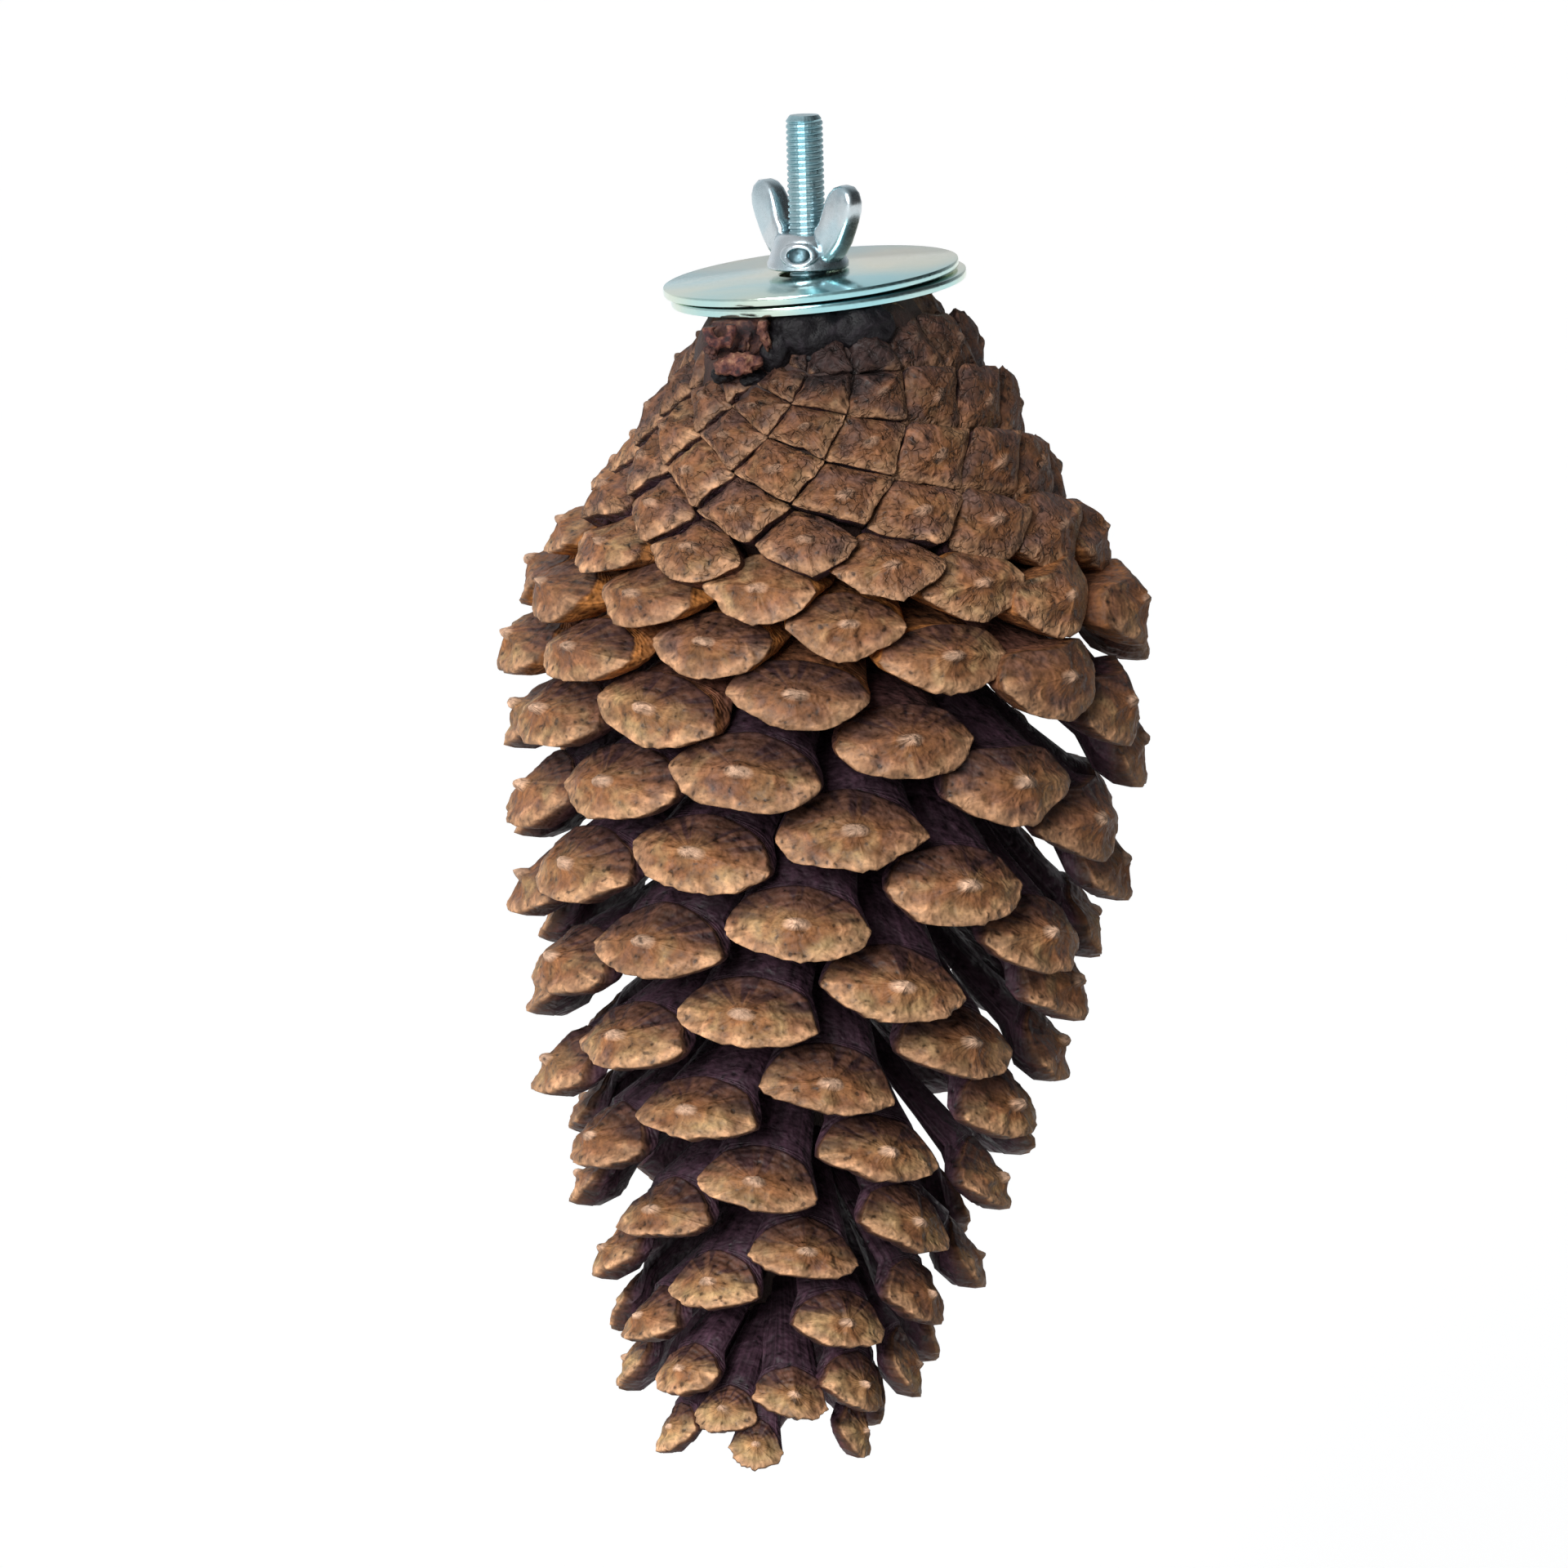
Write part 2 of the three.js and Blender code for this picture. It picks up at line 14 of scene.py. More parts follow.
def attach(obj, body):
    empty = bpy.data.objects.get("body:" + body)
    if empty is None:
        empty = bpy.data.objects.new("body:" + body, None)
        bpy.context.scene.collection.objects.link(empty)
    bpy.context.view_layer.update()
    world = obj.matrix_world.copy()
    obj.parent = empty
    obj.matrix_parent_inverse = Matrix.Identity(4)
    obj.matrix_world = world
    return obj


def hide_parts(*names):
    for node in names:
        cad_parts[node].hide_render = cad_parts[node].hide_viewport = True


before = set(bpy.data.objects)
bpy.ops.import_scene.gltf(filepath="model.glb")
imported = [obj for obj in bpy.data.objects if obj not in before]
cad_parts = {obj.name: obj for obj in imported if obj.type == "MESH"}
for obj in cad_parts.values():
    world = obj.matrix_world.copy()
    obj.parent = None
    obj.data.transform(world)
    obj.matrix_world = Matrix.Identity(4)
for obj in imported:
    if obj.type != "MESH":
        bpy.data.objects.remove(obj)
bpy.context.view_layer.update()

bl_info = {
    "name": "Hanging Pine Cone",
    "version": (1, 0, 0),
    "blender": (4, 5, 0),
    "location": "3D View > Sidebar > Pine Cone",
    "description": "Builds a long pine cone on a hanger bolt with washers and a wing nut",
    "category": "Object",
}

MM = 0.001

# The cone's curved axis from the stem pole to the tip, as a cubic Bezier curve
AXIS = [Vector(p) for p in ((-2.7, -10.6, 1.0), (7.0, 2.4, -7.6), (-1.4, 15.0, -108.1), (-12.3, -14.8, -161.9))]

# Scales in the order they grew: station along the axis curve of scale n
STATION_OF_SCALE = [(0, 0), (20, 0.065), (40, 0.153), (60, 0.234), (80, 0.296), (100, 0.369),
                    (120, 0.464), (140, 0.574), (160, 0.69), (180, 0.811), (200, 0.928), (221, 1)]
# Distance of the knobs on the scales from the axis, by station
KNOB_RADIUS = [(0, 7.6), (0.08, 17.7), (0.18, 22.1), (0.3, 31.5), (0.42, 40.2), (0.56, 41.5),
               (0.7, 34.7), (0.85, 24.2), (1, 14.1)]
# How much further out the knobs stand on the right and on the left side, by station
RIGHT_SWELL = [(0, -5), (0.06, -5), (0.12, -3.6), (0.15, -0.4), (0.2, 0.9), (0.28, 0.7), (0.31, 1.3),
               (0.345, 2.4), (0.4, 4), (0.46, 2.8), (0.6, 2), (0.8, 1.2), (0.9, 0)]
LEFT_SWELL = [(0, -5), (0.06, -5.5), (0.13, -5), (0.16, -2.6), (0.2, -1), (0.25, -2.6), (0.3, 0.4), (0.34, 2.8),
              (0.4, 3.8), (0.46, 0.6), (0.53, -0.8), (0.6, 0.6), (0.8, 1.5), (0.9, 0)]
# How many degrees the scales of the two sides are turned on round the cone, by station
RIGHT_TURN = [(0.38, 0), (0.42, 5), (0.46, 4.5), (0.52, 1), (0.58, 2), (0.66, 0)]
LEFT_TURN = [(0.22, 0), (0.3, 6), (0.4, 6), (0.5, 5), (0.56, 2), (0.62, 0)]
# Where the right side opened late, its scales sit nearer to the stem, by scale
LATE_SCALES = [(80, 0), (94, 0.008), (107, 0.018), (115, 0.024), (120, 0.018), (133, 0.016), (154, 0.016),
               (167, 0.012), (180, 0)]
SPIRAL_DRIFT = [(0, -9.2), (0.35, 0), (0.7, 12.2), (0.85, 6.1), (1, 5.3)]
GOLDEN_ANGLE = 137.508
FRONT_SCALE = 130
FRONT_ANGLE = -0.95
FIRST_SCALE = 3
STEM_SCALES = 22
STEM_PITCH = 0.002
LAST_SCALE = 219
LOST_SCALES = (198, 204, 205, 207, 208, 210, 212, 213, 214, 215, 217, 218)

# Closed scales, then the scales that part and open
LAST_CLOSED_SCALE = 82
FIRST_PARTED_SCALE = 78
OPEN_FROM = 104
GROOVE_SHARE = 0.035
RIM_HEIGHTS = (-1, -0.1, 0.5, -0.1, -1, -2.1, -2.6, -2.1)
# From here on a closed scale's lower side is even, with its lowest corner under the umbo
EVEN_FROM, EVEN_BY = 64, 82
# Up to here the closed scales lie flat; further down they overlap like shingles
FLAT_UNTIL = 56
# On the right side the scales stand out in steps, with upright faces, from one scale to another
STEP_FROM, STEP_BY = 20, 50
STEP_SLOPE = 0.62

# Open scales, by scale: droop of the blade, how much steeper it is at the root, and its swollen end
BLADE_DROOP = [(85, 0), (100, 8), (115, 18), (130, 27), (150, 33), (170, 38), (190, 50), (205, 64), (220, 76)]
ROOT_DROOP = [(120, 22), (160, 20), (190, 0), (220, -26)]
END_HALF_WIDTH = [(80, 7.4), (100, 8.6), (115, 9.8), (130, 10.4), (151, 10), (164, 9.3),
                  (177, 8.2), (190, 7.1), (205, 5.2), (220, 3.4)]
RIM_DROP = [(60, 5), (100, 5.8), (130, 6.1), (150, 5.5), (165, 4.8), (180, 4.2), (220, 3.6)]
RIM_LEAN = [(80, 6), (110, 14), (150, 16), (180, 18), (220, 6)]
NECK_DEPTH = 9.2
LIP_SHARE = 0.62
ROOT_SUNK_SHARE = 0.75
CORE_RADIUS = [(0.2, 14), (0.3, 22), (0.36, 19), (0.43, 12.5), (0.5, 9.5), (0.7, 7.5), (0.85, 5.5), (0.93, 3.8)]
CORE_END = 0.93

# Scar where the stem broke off, and the resin beside it
SCAR_CENTRE = Vector((-9.5, -18.5, -5.5))
SCAR_RADIUS = 5.5
# How far the scar's lit front and its dark back lie from its centre, towards the front of the cone
SCAR_FRONT, SCAR_BACK = 1.9, 0.3
RESIN_CENTRE = Vector((4.5, -19, -6))
RESIN_RADIUS = 8.5

# Hanger: the washers' tilt and the places of the pieces along the bolt
WASHER_TILT = 4.5
WASHER_NOD = 2
LOWER_WASHER_SHIFT = 1.3
UPPER_WASHER_SHIFT = 0.4
WASHER_LIFT = 0.75
CUT_BELOW_ORIGIN = 1.65
BOLT_TOP = 22.5
SCREW_POINT = -36
NUT_BOTTOM = 2.1
NUT_HEIGHT = 6
WING_TURN = -48
THREAD_DEPTH = 0.27
OVAL_TURN = 33
OVAL_HEIGHT = 2.0

# Camera: it looks a little down on the front, from where the photograph was taken
CAMERA_HEIGHT_ANGLE = 10.5
CAMERA_ROLL = 1.6
CAMERA_DISTANCE = 1000
MM_PER_PIXEL = 0.11
FRAME_PIXELS = 1920
ORIGIN_PIXEL = (990, 345)
SENSOR_WIDTH = 36


def linear(hex_colour):
    """The linear RGBA of an sRGB hex colour."""
    parts = [int(hex_colour[i:i + 2], 16) / 255 for i in (1, 3, 5)]
    return (*(p / 12.92 if p <= 0.04045 else ((p + 0.055) / 1.055) ** 2.4 for p in parts), 1.0)


def length_prop(name, description, default_mm):
    return bpy.props.FloatProperty(
        name=name, description=description, default=default_mm * MM, min=0, unit="LENGTH", precision=5)


def colour_prop(name, description, hex_colour):
    return bpy.props.FloatVectorProperty(
        name=name, description=description, default=linear(hex_colour), size=4, min=0, max=1, subtype="COLOR")


class PINECONE_PG_cone(bpy.types.PropertyGroup):
    """Sizes and colours of the cone."""

    umbo_height: length_prop("Umbo height", "How far the knob in the middle of a scale's face stands out", 1.0)
    rim_wave: length_prop("Rim wave", "How far the rim of a scale wanders in and out", 0.32)
    furrow_depth: length_prop("Furrow depth", "Depth of the furrows on the upper face of a scale", 0.3)
    # Pale worn umbo, with a painted highlight in its colour
    umbo_and_highlight_colour: colour_prop("Umbo", "Pale worn knob of a scale", "#dbb294")
    face_colour: colour_prop("Face", "Lower face of a scale", "#936447")
    rim_colour: colour_prop("Rim", "Pale worn rim of a scale", "#c2946f")
    upper_colour: colour_prop("Upper face", "Weathered upper face of a scale", "#593a2c")
    flank_colour: colour_prop("Flank", "Fresh wood on the flanks of the scales that have just parted", "#bd7a3e")
    # The blade's own dark colour, which also carries the painted shade in the gaps between the scales
    blade_and_gap_shade_colour: colour_prop("Blade", "Dark blade of a scale inside the cone", "#412933")
    resin_colour: colour_prop("Resin", "Old resin on the cut top", "#120f13")


class PINECONE_PG_hanger(bpy.types.PropertyGroup):
    """Sizes and colours of the bolt, the washers and the wing nut."""

    bolt_diameter: length_prop("Bolt diameter", "Outside diameter of the thread", 5.0)
    thread_pitch: length_prop("Thread pitch", "Rise of the machine thread in one turn", 0.8)
    washer_diameter: length_prop("Washer diameter", "Outside diameter of the two washers", 40.0)
    washer_thickness: length_prop("Washer thickness", "Thickness of the two washers", 1.2)
    washer_hole: length_prop("Washer hole", "Diameter of the hole in the washers", 8.5)
    wing_thickness: length_prop("Wing thickness", "Thickness of the wings of the nut", 3.0)
    zinc_colour: colour_prop("Zinc", "Bright zinc plating", "#cdd6da")
    zinc_blue: colour_prop("Blue tint", "Blue passivation on the plating", "#a8dbe0")
    zinc_yellow: colour_prop("Yellow tint", "Yellow passivation on the washers", "#e4e6cf")


class PINECONE_PG_stage(bpy.types.PropertyGroup):
    """Floor, light and camera."""

    floor_colour: colour_prop("Floor", "Pale studio floor", "#fbfbfa")
    floor_height: bpy.props.FloatProperty(
        name="Floor height", description="Height of the floor under the hanging cone",
        default=-0.45, unit="LENGTH")
    floor_glow: bpy.props.FloatProperty(
        name="Floor glow", description="Light of its own that keeps the floor pale", default=0.24, min=0)
    key_strength: bpy.props.FloatProperty(
        name="Key light", description="Strength of the soft main light", default=3.0, min=0)
    sky_strength: bpy.props.FloatProperty(
        name="Sky light", description="Strength of the soft light all round", default=0.7, min=0)


class PINECONE_PG_settings(bpy.types.PropertyGroup):
    """All settings of the hanging pine cone."""

    cone: bpy.props.PointerProperty(name="Cone", description="The cone", type=PINECONE_PG_cone)
    hanger: bpy.props.PointerProperty(name="Hanger", description="The hanger", type=PINECONE_PG_hanger)
    stage: bpy.props.PointerProperty(name="Stage", description="The studio", type=PINECONE_PG_stage)


def along(pairs, x):
    """Smooth curve through a short list of (position, value) pairs."""
    if x <= pairs[0][0]:
        return pairs[0][1]
    last = len(pairs) - 1
    if x >= pairs[last][0]:
        return pairs[last][1]
    i = 0
    while x > pairs[i + 1][0]:
        i += 1

    def slope(k):
        a, b = pairs[max(k - 1, 0)], pairs[min(k + 1, last)]
        return (b[1] - a[1]) / (b[0] - a[0])

    step = pairs[i + 1][0] - pairs[i][0]
    u = (x - pairs[i][0]) / step
    rise = pairs[i + 1][1] - pairs[i][1]
    near = slope(i) * step - rise
    far = rise - slope(i + 1) * step
    return pairs[i][1] + rise * u + u * (1 - u) * (near * (1 - u) + far * u)


def smoothstep(x, low, high):
    u = min(max((x - low) / (high - low), 0), 1)
    return u * u * (3 - 2 * u)


def scatter(n, kind):
    """Repeatable scatter from -1 to 1 for scale n; each kind of scatter has its own number."""
    wave = math.sin(n * 12.9898 + kind * 78.233) * 43758.5453
    return (wave - math.floor(wave)) * 2 - 1


def axis_point(s):
    a, b, c, d = AXIS
    r = 1 - s
    return a * r ** 3 + b * 3 * s * r * r + c * 3 * s * s * r + d * s ** 3


def ring_frame(station, angle):
    """Centre, outward and sideways directions and mm per unit of station, at a station and an angle."""
    e = 1e-3
    held = min(max(station, 0), 1)
    low, high = max(held - e, 0), min(held + e, 1)
    run = (axis_point(high) - axis_point(low)) / (high - low)
    speed = run.length
    tangent = run / speed
    across = (Vector((1, 0, 0)) - tangent * tangent.x).normalized()
    front = tangent.cross(across)
    out = across * math.sin(angle) + front * math.cos(angle)
    side = across * math.cos(angle) - front * math.sin(angle)
    return axis_point(held) + tangent * ((station - held) * speed), out, side, speed


class Place:
    """Where scale n grows: station, angle round the axis and distance of its knob."""

    def __init__(self, n):
        self.station = along(STATION_OF_SCALE, n) + STEM_PITCH * min(n, 0)
        drift = along(SPIRAL_DRIFT, self.station)
        self.angle = math.radians(FRONT_ANGLE + GOLDEN_ANGLE * (n - FRONT_SCALE) + drift)
        right, left = max(math.sin(self.angle), 0) ** 2, max(-math.sin(self.angle), 0) ** 2
        self.radius = along(KNOB_RADIUS, self.station) * max(0, 1 + min(n, 0) / STEM_SCALES)
        self.radius += right * along(RIGHT_SWELL, self.station) + left * along(LEFT_SWELL, self.station)
        turned = right * along(RIGHT_TURN, self.station) + left * along(LEFT_TURN, self.station)
        self.angle += math.radians(turned)
        self.station -= right * along(LATE_SCALES, n)
        self.speed = ring_frame(self.station, 0)[3]

    def beside(self, sideways, down, out):
        """Point beside the scale: sideways, down towards the tip, and out from the axis."""
        centre, outward, side, _ = ring_frame(self.station + down / self.speed, self.angle)
        return centre + side * sideways + outward * out


def knob_point(n):
    place = Place(n)
    return place.beside(0, 0, place.radius)


def surface_out(n):
    """Direction square to the cone's surface at a knob, from the knobs round it."""
    across = knob_point(n - 5) - knob_point(n + 5)
    down = knob_point(n + 21) - knob_point(max(n - 21, -15))
    return down.cross(across).normalized()


def meeting_point(n):
    """Point of the closed surface where scales n, n + 8, n + 13 and n + 21 meet."""
    return sum((knob_point(n + step) for step in (0, 8, 13, 21)), Vector()) / 4


def stepped(n):
    """How much scale n stands out as a step: only on the right side of the cone."""
    place = Place(n)
    return smoothstep(math.sin(place.angle), 0.25, 0.85) * smoothstep(n, STEP_FROM, STEP_BY)


def step_rise(n, spot, middle, out):
    """How far a rim point moves out where its scale stands out as a step: its upper side out, its lower in."""
    up = Vector((0, 0, 1)) - out * out.z
    return (spot - middle).dot(up) * STEP_SLOPE * stepped(n)


def closed_rim(n):
    """Eight rim points of a closed scale, from its left corner by its lower side."""
    middle, out = knob_point(n), surface_out(n)
    corners = [meeting_point(k) for k in (n - 8, n, n - 13, n - 21)]
    outline = []
    for i, corner in enumerate(corners):
        outline += [corner, corner.lerp(corners[(i + 1) % 4], 0.5)]
    flat = 0.35 + 0.65 * smoothstep(n, FLAT_UNTIL, EVEN_BY)
    rim = [p.lerp(middle, GROOVE_SHARE) + out * (flat * h) for p, h in zip(outline, RIM_HEIGHTS)]
    even = smoothstep(n, EVEN_FROM, EVEN_BY)
    if even > 0:
        down = knob_point(n + 34) - middle
        down = (down - out * down.dot(out)).normalized()
        side = out.cross(down)
        half, drop = 0.46 * abs((rim[0] - rim[4]).dot(side)), 0.96 * along(RIM_DROP, n)
        shapes = ((-1, 0.1, -1), (-0.6, 0.66, -0.2), (0, 1, 0.6), (0.6, 0.66, -0.2), (1, 0.1, -1))
        for k, (sideways, low, high) in enumerate(shapes):
            shift = 0.08 * scatter(n, 20 + k)
            spot = middle + side * (half * (sideways + shift)) + down * (drop * low) + out * high
            rim[k] = rim[k].lerp(spot, even)
    return [p + out * step_rise(n, p, middle, out) for p in rim]


# How straight the outline runs into each of its eight points: 0 is a sharp corner, 1 is round
CORNER_EASE = (0.45, 1, 0.85, 1, 0.45, 0.8, 0.9, 0.8)
BLADE_EASE = (0.35, 1, 1, 1, 0.35, 1, 1, 1)
CLOSED_EASE = (0.5, 0.95, 0.6, 0.95, 0.5, 0.95, 0.6, 0.95)


def round_outline(points, t, ease=CORNER_EASE):
    """Point at t, from 0 to 8, on a smooth closed outline through eight points."""
    i = int(math.floor(t)) % 8
    u = t - math.floor(t)
    before, start, end, after = (points[(i + k) % 8] for k in (-1, 0, 1, 2))
    leave = (end - before) * (0.5 * ease[i])
    arrive = (after - start) * (0.5 * ease[(i + 1) % 8])
    u2, u3 = u * u, u * u * u
    return (start * (2 * u3 - 3 * u2 + 1) + leave * (u3 - 2 * u2 + u)
            + end * (3 * u2 - 2 * u3) + arrive * (u3 - u2))


def hump(x, centre, width):
    return math.exp(-(((x - centre) / width) ** 2))


# Rings of a scale from the knob to the root. boss: the raised umbo; face: from its foot to the rim;
# back: from the rim to the neck; blade: from the neck to the root
OPEN_RINGS = (("boss", 0.5), ("boss", 1), ("face", 0), ("face", 0.14), ("face", 0.3), ("face", 0.46),
              ("face", 0.62), ("face", 0.76), ("face", 0.88), ("face", 0.96), ("face", 1), ("back", 0.1),
              ("back", 0.3), ("back", 0.62), ("back", 1), ("blade", 0.16), ("blade", 0.36), ("blade", 0.58),
              ("blade", 0.82))
CLOSED_RINGS = (("boss", 0.5), ("boss", 1), ("face", 0), ("face", 0.2), ("face", 0.45), ("face", 0.68),
                ("face", 0.86), ("face", 0.96), ("face", 1), ("wall", 0.12), ("wall", 0.5), ("wall", 1))
OPEN_SIDES = 48
CLOSED_SIDES = 32
UMBO_HALF_WIDTH = 1.5
UMBO_HALF_HEIGHT = 0.72
CLOSED_UMBO_SHARE = 0.6
WALL_DEPTH = 4.2


class Scale:
    """Shared shape of a scale's face: umbo, facets and rim."""

    def __init__(self, n, settings):
        self.n = n
        self.settings = settings
        self.place = Place(n)
        self.wave = settings.rim_wave / MM
        self.umbo = settings.umbo_height / MM
        self.furrow = settings.furrow_depth / MM

    def face_point(self, t, ring, share):
        """A point of the umbo or the face, at t round the scale."""
        turn = t * math.pi / 4
        low = math.sin(turn)
        edge = round_outline(self.rim, t, self.ease)
        reach = edge - self.tip
        span = reach.length
        boss = self.size * math.hypot(UMBO_HALF_WIDTH * math.cos(turn), UMBO_HALF_HEIGHT * low)
        if ring == "boss":
            lump = 0.4 * noise.noise(Vector((math.cos(turn), low, self.n * 3.1)))
            high = self.umbo * self.size * (1 - 0.45 * share * share + lump)
            return self.tip + reach * (boss * share * (1 + lump) / span) + self.forward * high
        foot = min(1.5 * boss / span, 0.5)
        f = foot + (1 - foot) * share
        spot = self.tip + reach * f
        lower, upper = max(low, 0), max(-low, 0)
        across = abs(math.cos(turn))
        lift = self.size * lower * (0.25 * hump(share, 0.86, 0.14) - self.hollow * hump(share, 0.4, 0.28))
        lift += self.size * self.swell * upper * hump(share, 0.55, 0.4)
        lift += self.size * self.keel * (hump(share, 0.3, 0.42) * across ** 5 + 0.6 * hump(share, 0.4, 0.35) * abs(low) ** 9)
        lift -= self.size * self.pillow * smoothstep(share, 0.72, 1) * (1 - 0.4 * lower)
        fan = Vector((3.2 * math.cos(turn), 3.2 * low, share * 0.5 + self.n * 1.7))
        ripple = noise.noise(fan) + 0.5 * noise.noise(fan * 2.3)
        lift += self.furrow * ripple * (0.5 + 1.2 * upper) * hump(share, 0.62, 0.42)
        lift += 0.65 * self.size * noise.noise(spot * 0.26 + Vector((0, 0, self.n)))
        lift += 0.34 * noise.noise(spot * 0.75 + Vector((0, 0, self.n)))
        rim = Vector((1.7 * math.cos(turn), 1.7 * low, self.n * 5.3))
        wander = self.wave * (1.3 * noise.noise(rim) + 0.9 * noise.noise(rim * 2.9) + 0.9 * noise.noise(rim * 6.5))
        return spot + self.forward * lift + reach * (wander * share ** 3 * (1 - 0.7 * upper) / span)


class ClosedScale(Scale):
    """A closed scale: a low pyramid that fits between its neighbours."""

    ease = CLOSED_EASE
    rings = CLOSED_RINGS
    sides = CLOSED_SIDES
    hollow, swell, keel, pillow = -0.1, 0.2, 0.3, 0.85

    def __init__(self, n, settings):
        super().__init__(n, settings)
        self.forward = surface_out(n)
        self.middle = knob_point(n)
        self.umbo *= CLOSED_UMBO_SHARE
        self.tip = self.middle + self.forward * (0.8 - 0.9 * stepped(n))
        self.rim = closed_rim(n)
        self.size = min(1, (self.rim[0] - self.rim[4]).length / 19)
        self.root = self.middle - self.forward * (WALL_DEPTH + 2.5)

    def point(self, t, ring, share):
        if ring in ("boss", "face"):
            return self.face_point(t, ring, share)
        edge = self.face_point(t, "face", 1)
        level = self.middle - self.forward * 1.2
        inward = (level - edge) - self.forward * (level - edge).dot(self.forward)
        return edge + inward * (0.02 + 0.05 * share) - self.forward * (WALL_DEPTH * share)

    def depth(self, ring, share):
        return {"boss": 0.1 * share, "face": 0.15 + 0.85 * share, "wall": 1 + 1.6 * share}[ring]


class OpenScale(Scale):
    """A parted or open scale: a swollen end on a blade that narrows to its root in the core."""

    ease = CORNER_EASE
    rings = OPEN_RINGS
    sides = OPEN_SIDES
    hollow, swell, keel, pillow = 0.35, -0.35, 0.6, 0.3

    def __init__(self, n, settings):
        super().__init__(n, settings)
        place = self.place
        self.open = smoothstep(n, FIRST_PARTED_SCALE, OPEN_FROM)
        place.radius += self.open * scatter(n, 1)
        self.half = along(END_HALF_WIDTH, n) * (1 + 0.04 * scatter(n, 2))
        self.drop = along(RIM_DROP, n) * (1 + 0.06 * scatter(n, 5))
        self.droop = math.radians(along(BLADE_DROOP, n) + 4 * self.open * scatter(n, 3))
        self.steeper = math.radians(along(ROOT_DROOP, n))
        self.roll = math.radians(5 * self.open * scatter(n, 4))
        self.block = stepped(n) * smoothstep(n, 165, 120)
        self.umbo *= 1 - 0.5 * self.block
        self.lean = math.radians(along(RIM_LEAN, n) * (1 - 0.8 * self.block))
        self.size = self.half / 10.4
        self.walk_blade()
        self.sections = {}
        self.neck = self.section(0)
        self.tip = self.on_face(0, -0.1, 0.35)
        self.forward = (self.on_face(0, 0, 1) - self.on_face(0, 0, 0)).normalized()
        self.rise = (self.on_face(0, -1, 0) - self.on_face(0, 0, 0)).normalized()
        self.rim = self.rim_points()
        self.root = self.on_blade(self.path[-1], 0, 0)

    def on_face(self, sideways, drop, forward):
        """A point from the knob: sideways, down the rim's face and out, turned by the scale's roll."""
        turned = sideways * math.sin(self.roll) + drop * math.cos(self.roll)
        return self.place.beside(
            sideways * math.cos(self.roll) - drop * math.sin(self.roll),
            turned * math.cos(self.lean) - forward * math.sin(self.lean),
            self.place.radius + drop * math.sin(self.lean) + forward * math.cos(self.lean))

    def on_blade(self, step, sideways, below):
        """A point of the blade at a step of its midline: sideways, and up or down square to it."""
        down, out, slope = step
        turned = sideways * math.sin(self.roll) + below * math.cos(self.roll)
        return self.place.beside(
            sideways * math.cos(self.roll) - below * math.sin(self.roll),
            down + turned * math.cos(slope), out - turned * math.sin(slope))

    def walk_blade(self):
        """Midline of the blade from the neck to the root, in steps of half a millimetre."""
        down, out, depth, slope = 0.42 * self.drop, self.place.radius - 0.5, 0, self.droop
        neck_depth = NECK_DEPTH * (0.4 + 0.6 * self.size)
        self.path = []
        while depth < 120:
            core = along(CORE_RADIUS, self.place.station + down / self.place.speed)
            if out <= (1 - ROOT_SUNK_SHARE) * core:
                break
            if depth >= neck_depth:
                self.path.append((down, out, slope))
            slope = self.droop + self.steeper * min(1, depth / 36)
            down -= 0.5 * math.sin(slope)
            out -= 0.5 * math.cos(slope)
            depth += 0.5
        self.path.append((down, out, slope))

    def section(self, share):
        """Eight points round the blade, share of the way from the neck to the root."""
        step = self.path[min(int(share * (len(self.path) - 1)), len(self.path) - 1)]
        # The scales that have just parted still lie side by side
        wide = 0.2 * smoothstep(self.n, 124, 98)
        half = self.half * (0.76 + wide - (0.5 - wide) * share)
        above = (2.1 * self.size + 0.4) * (1 - share) ** 1.6 + 0.55
        below = (1.4 * self.size + 0.3) * (1 - share) ** 1.6 + 0.5
        outline = ((-half, 0), (-0.75 * half, 0.7 * below), (0, below), (0.75 * half, 0.7 * below),
                   (half, 0), (0.68 * half, -0.72 * above), (0, -above), (-0.68 * half, -0.72 * above))
        return [self.on_blade(step, sideways, drop) for sideways, drop in outline]

    def rim_points(self):
        """Outline of the face: side corners, lower rim, and the shoulders and ridge of the upper face."""
        n, half, drop = self.n, self.half, self.drop
        back, high = 0.8 - 0.6 * self.block, (0.9 + 1.8 * self.block) * self.size
        ridge = self.tip.lerp(self.neck[6], back) + self.rise * high
        left, right = (
            self.on_face(side * half, (0.14 + 0.12 * scatter(n, kind)) * drop, -0.3 * half)
            for side, kind in ((-1, 11), (1, 12)))
        left_shoulder, right_shoulder = (
            corner.lerp(self.neck[k], 0.42 - 0.1 * self.block).lerp(ridge, 0.14)
            + self.rise * ((1.3 + 0.7 * scatter(n, kind) + 1.8 * self.block) * self.size)
            for corner, k, kind in ((left, 7, 13), (right, 5, 14)))
        rim = [
            left,
            self.on_face((-0.62 + 0.08 * scatter(n, 15)) * half, (0.76 + 0.1 * scatter(n, 16)) * drop, -0.1 * half),
            self.on_face(0.12 * scatter(n, 17) * half, drop, 0),
            self.on_face((0.62 + 0.08 * scatter(n, 18)) * half, (0.76 + 0.1 * scatter(n, 19)) * drop, -0.1 * half),
            right, right_shoulder, ridge, left_shoulder,
        ]
        if self.open < 1:
            rim = [a.lerp(b, self.open) for a, b in zip(closed_rim(n), rim)]
        return rim

    def point(self, t, ring, share):
        if ring in ("boss", "face"):
            return self.face_point(t, ring, share)
        if ring == "blade":
            if share not in self.sections:
                self.sections[share] = self.section(share)
            spot = round_outline(self.sections[share], t, BLADE_EASE)
            return spot + self.forward * (0.3 * noise.noise(spot * 0.35))
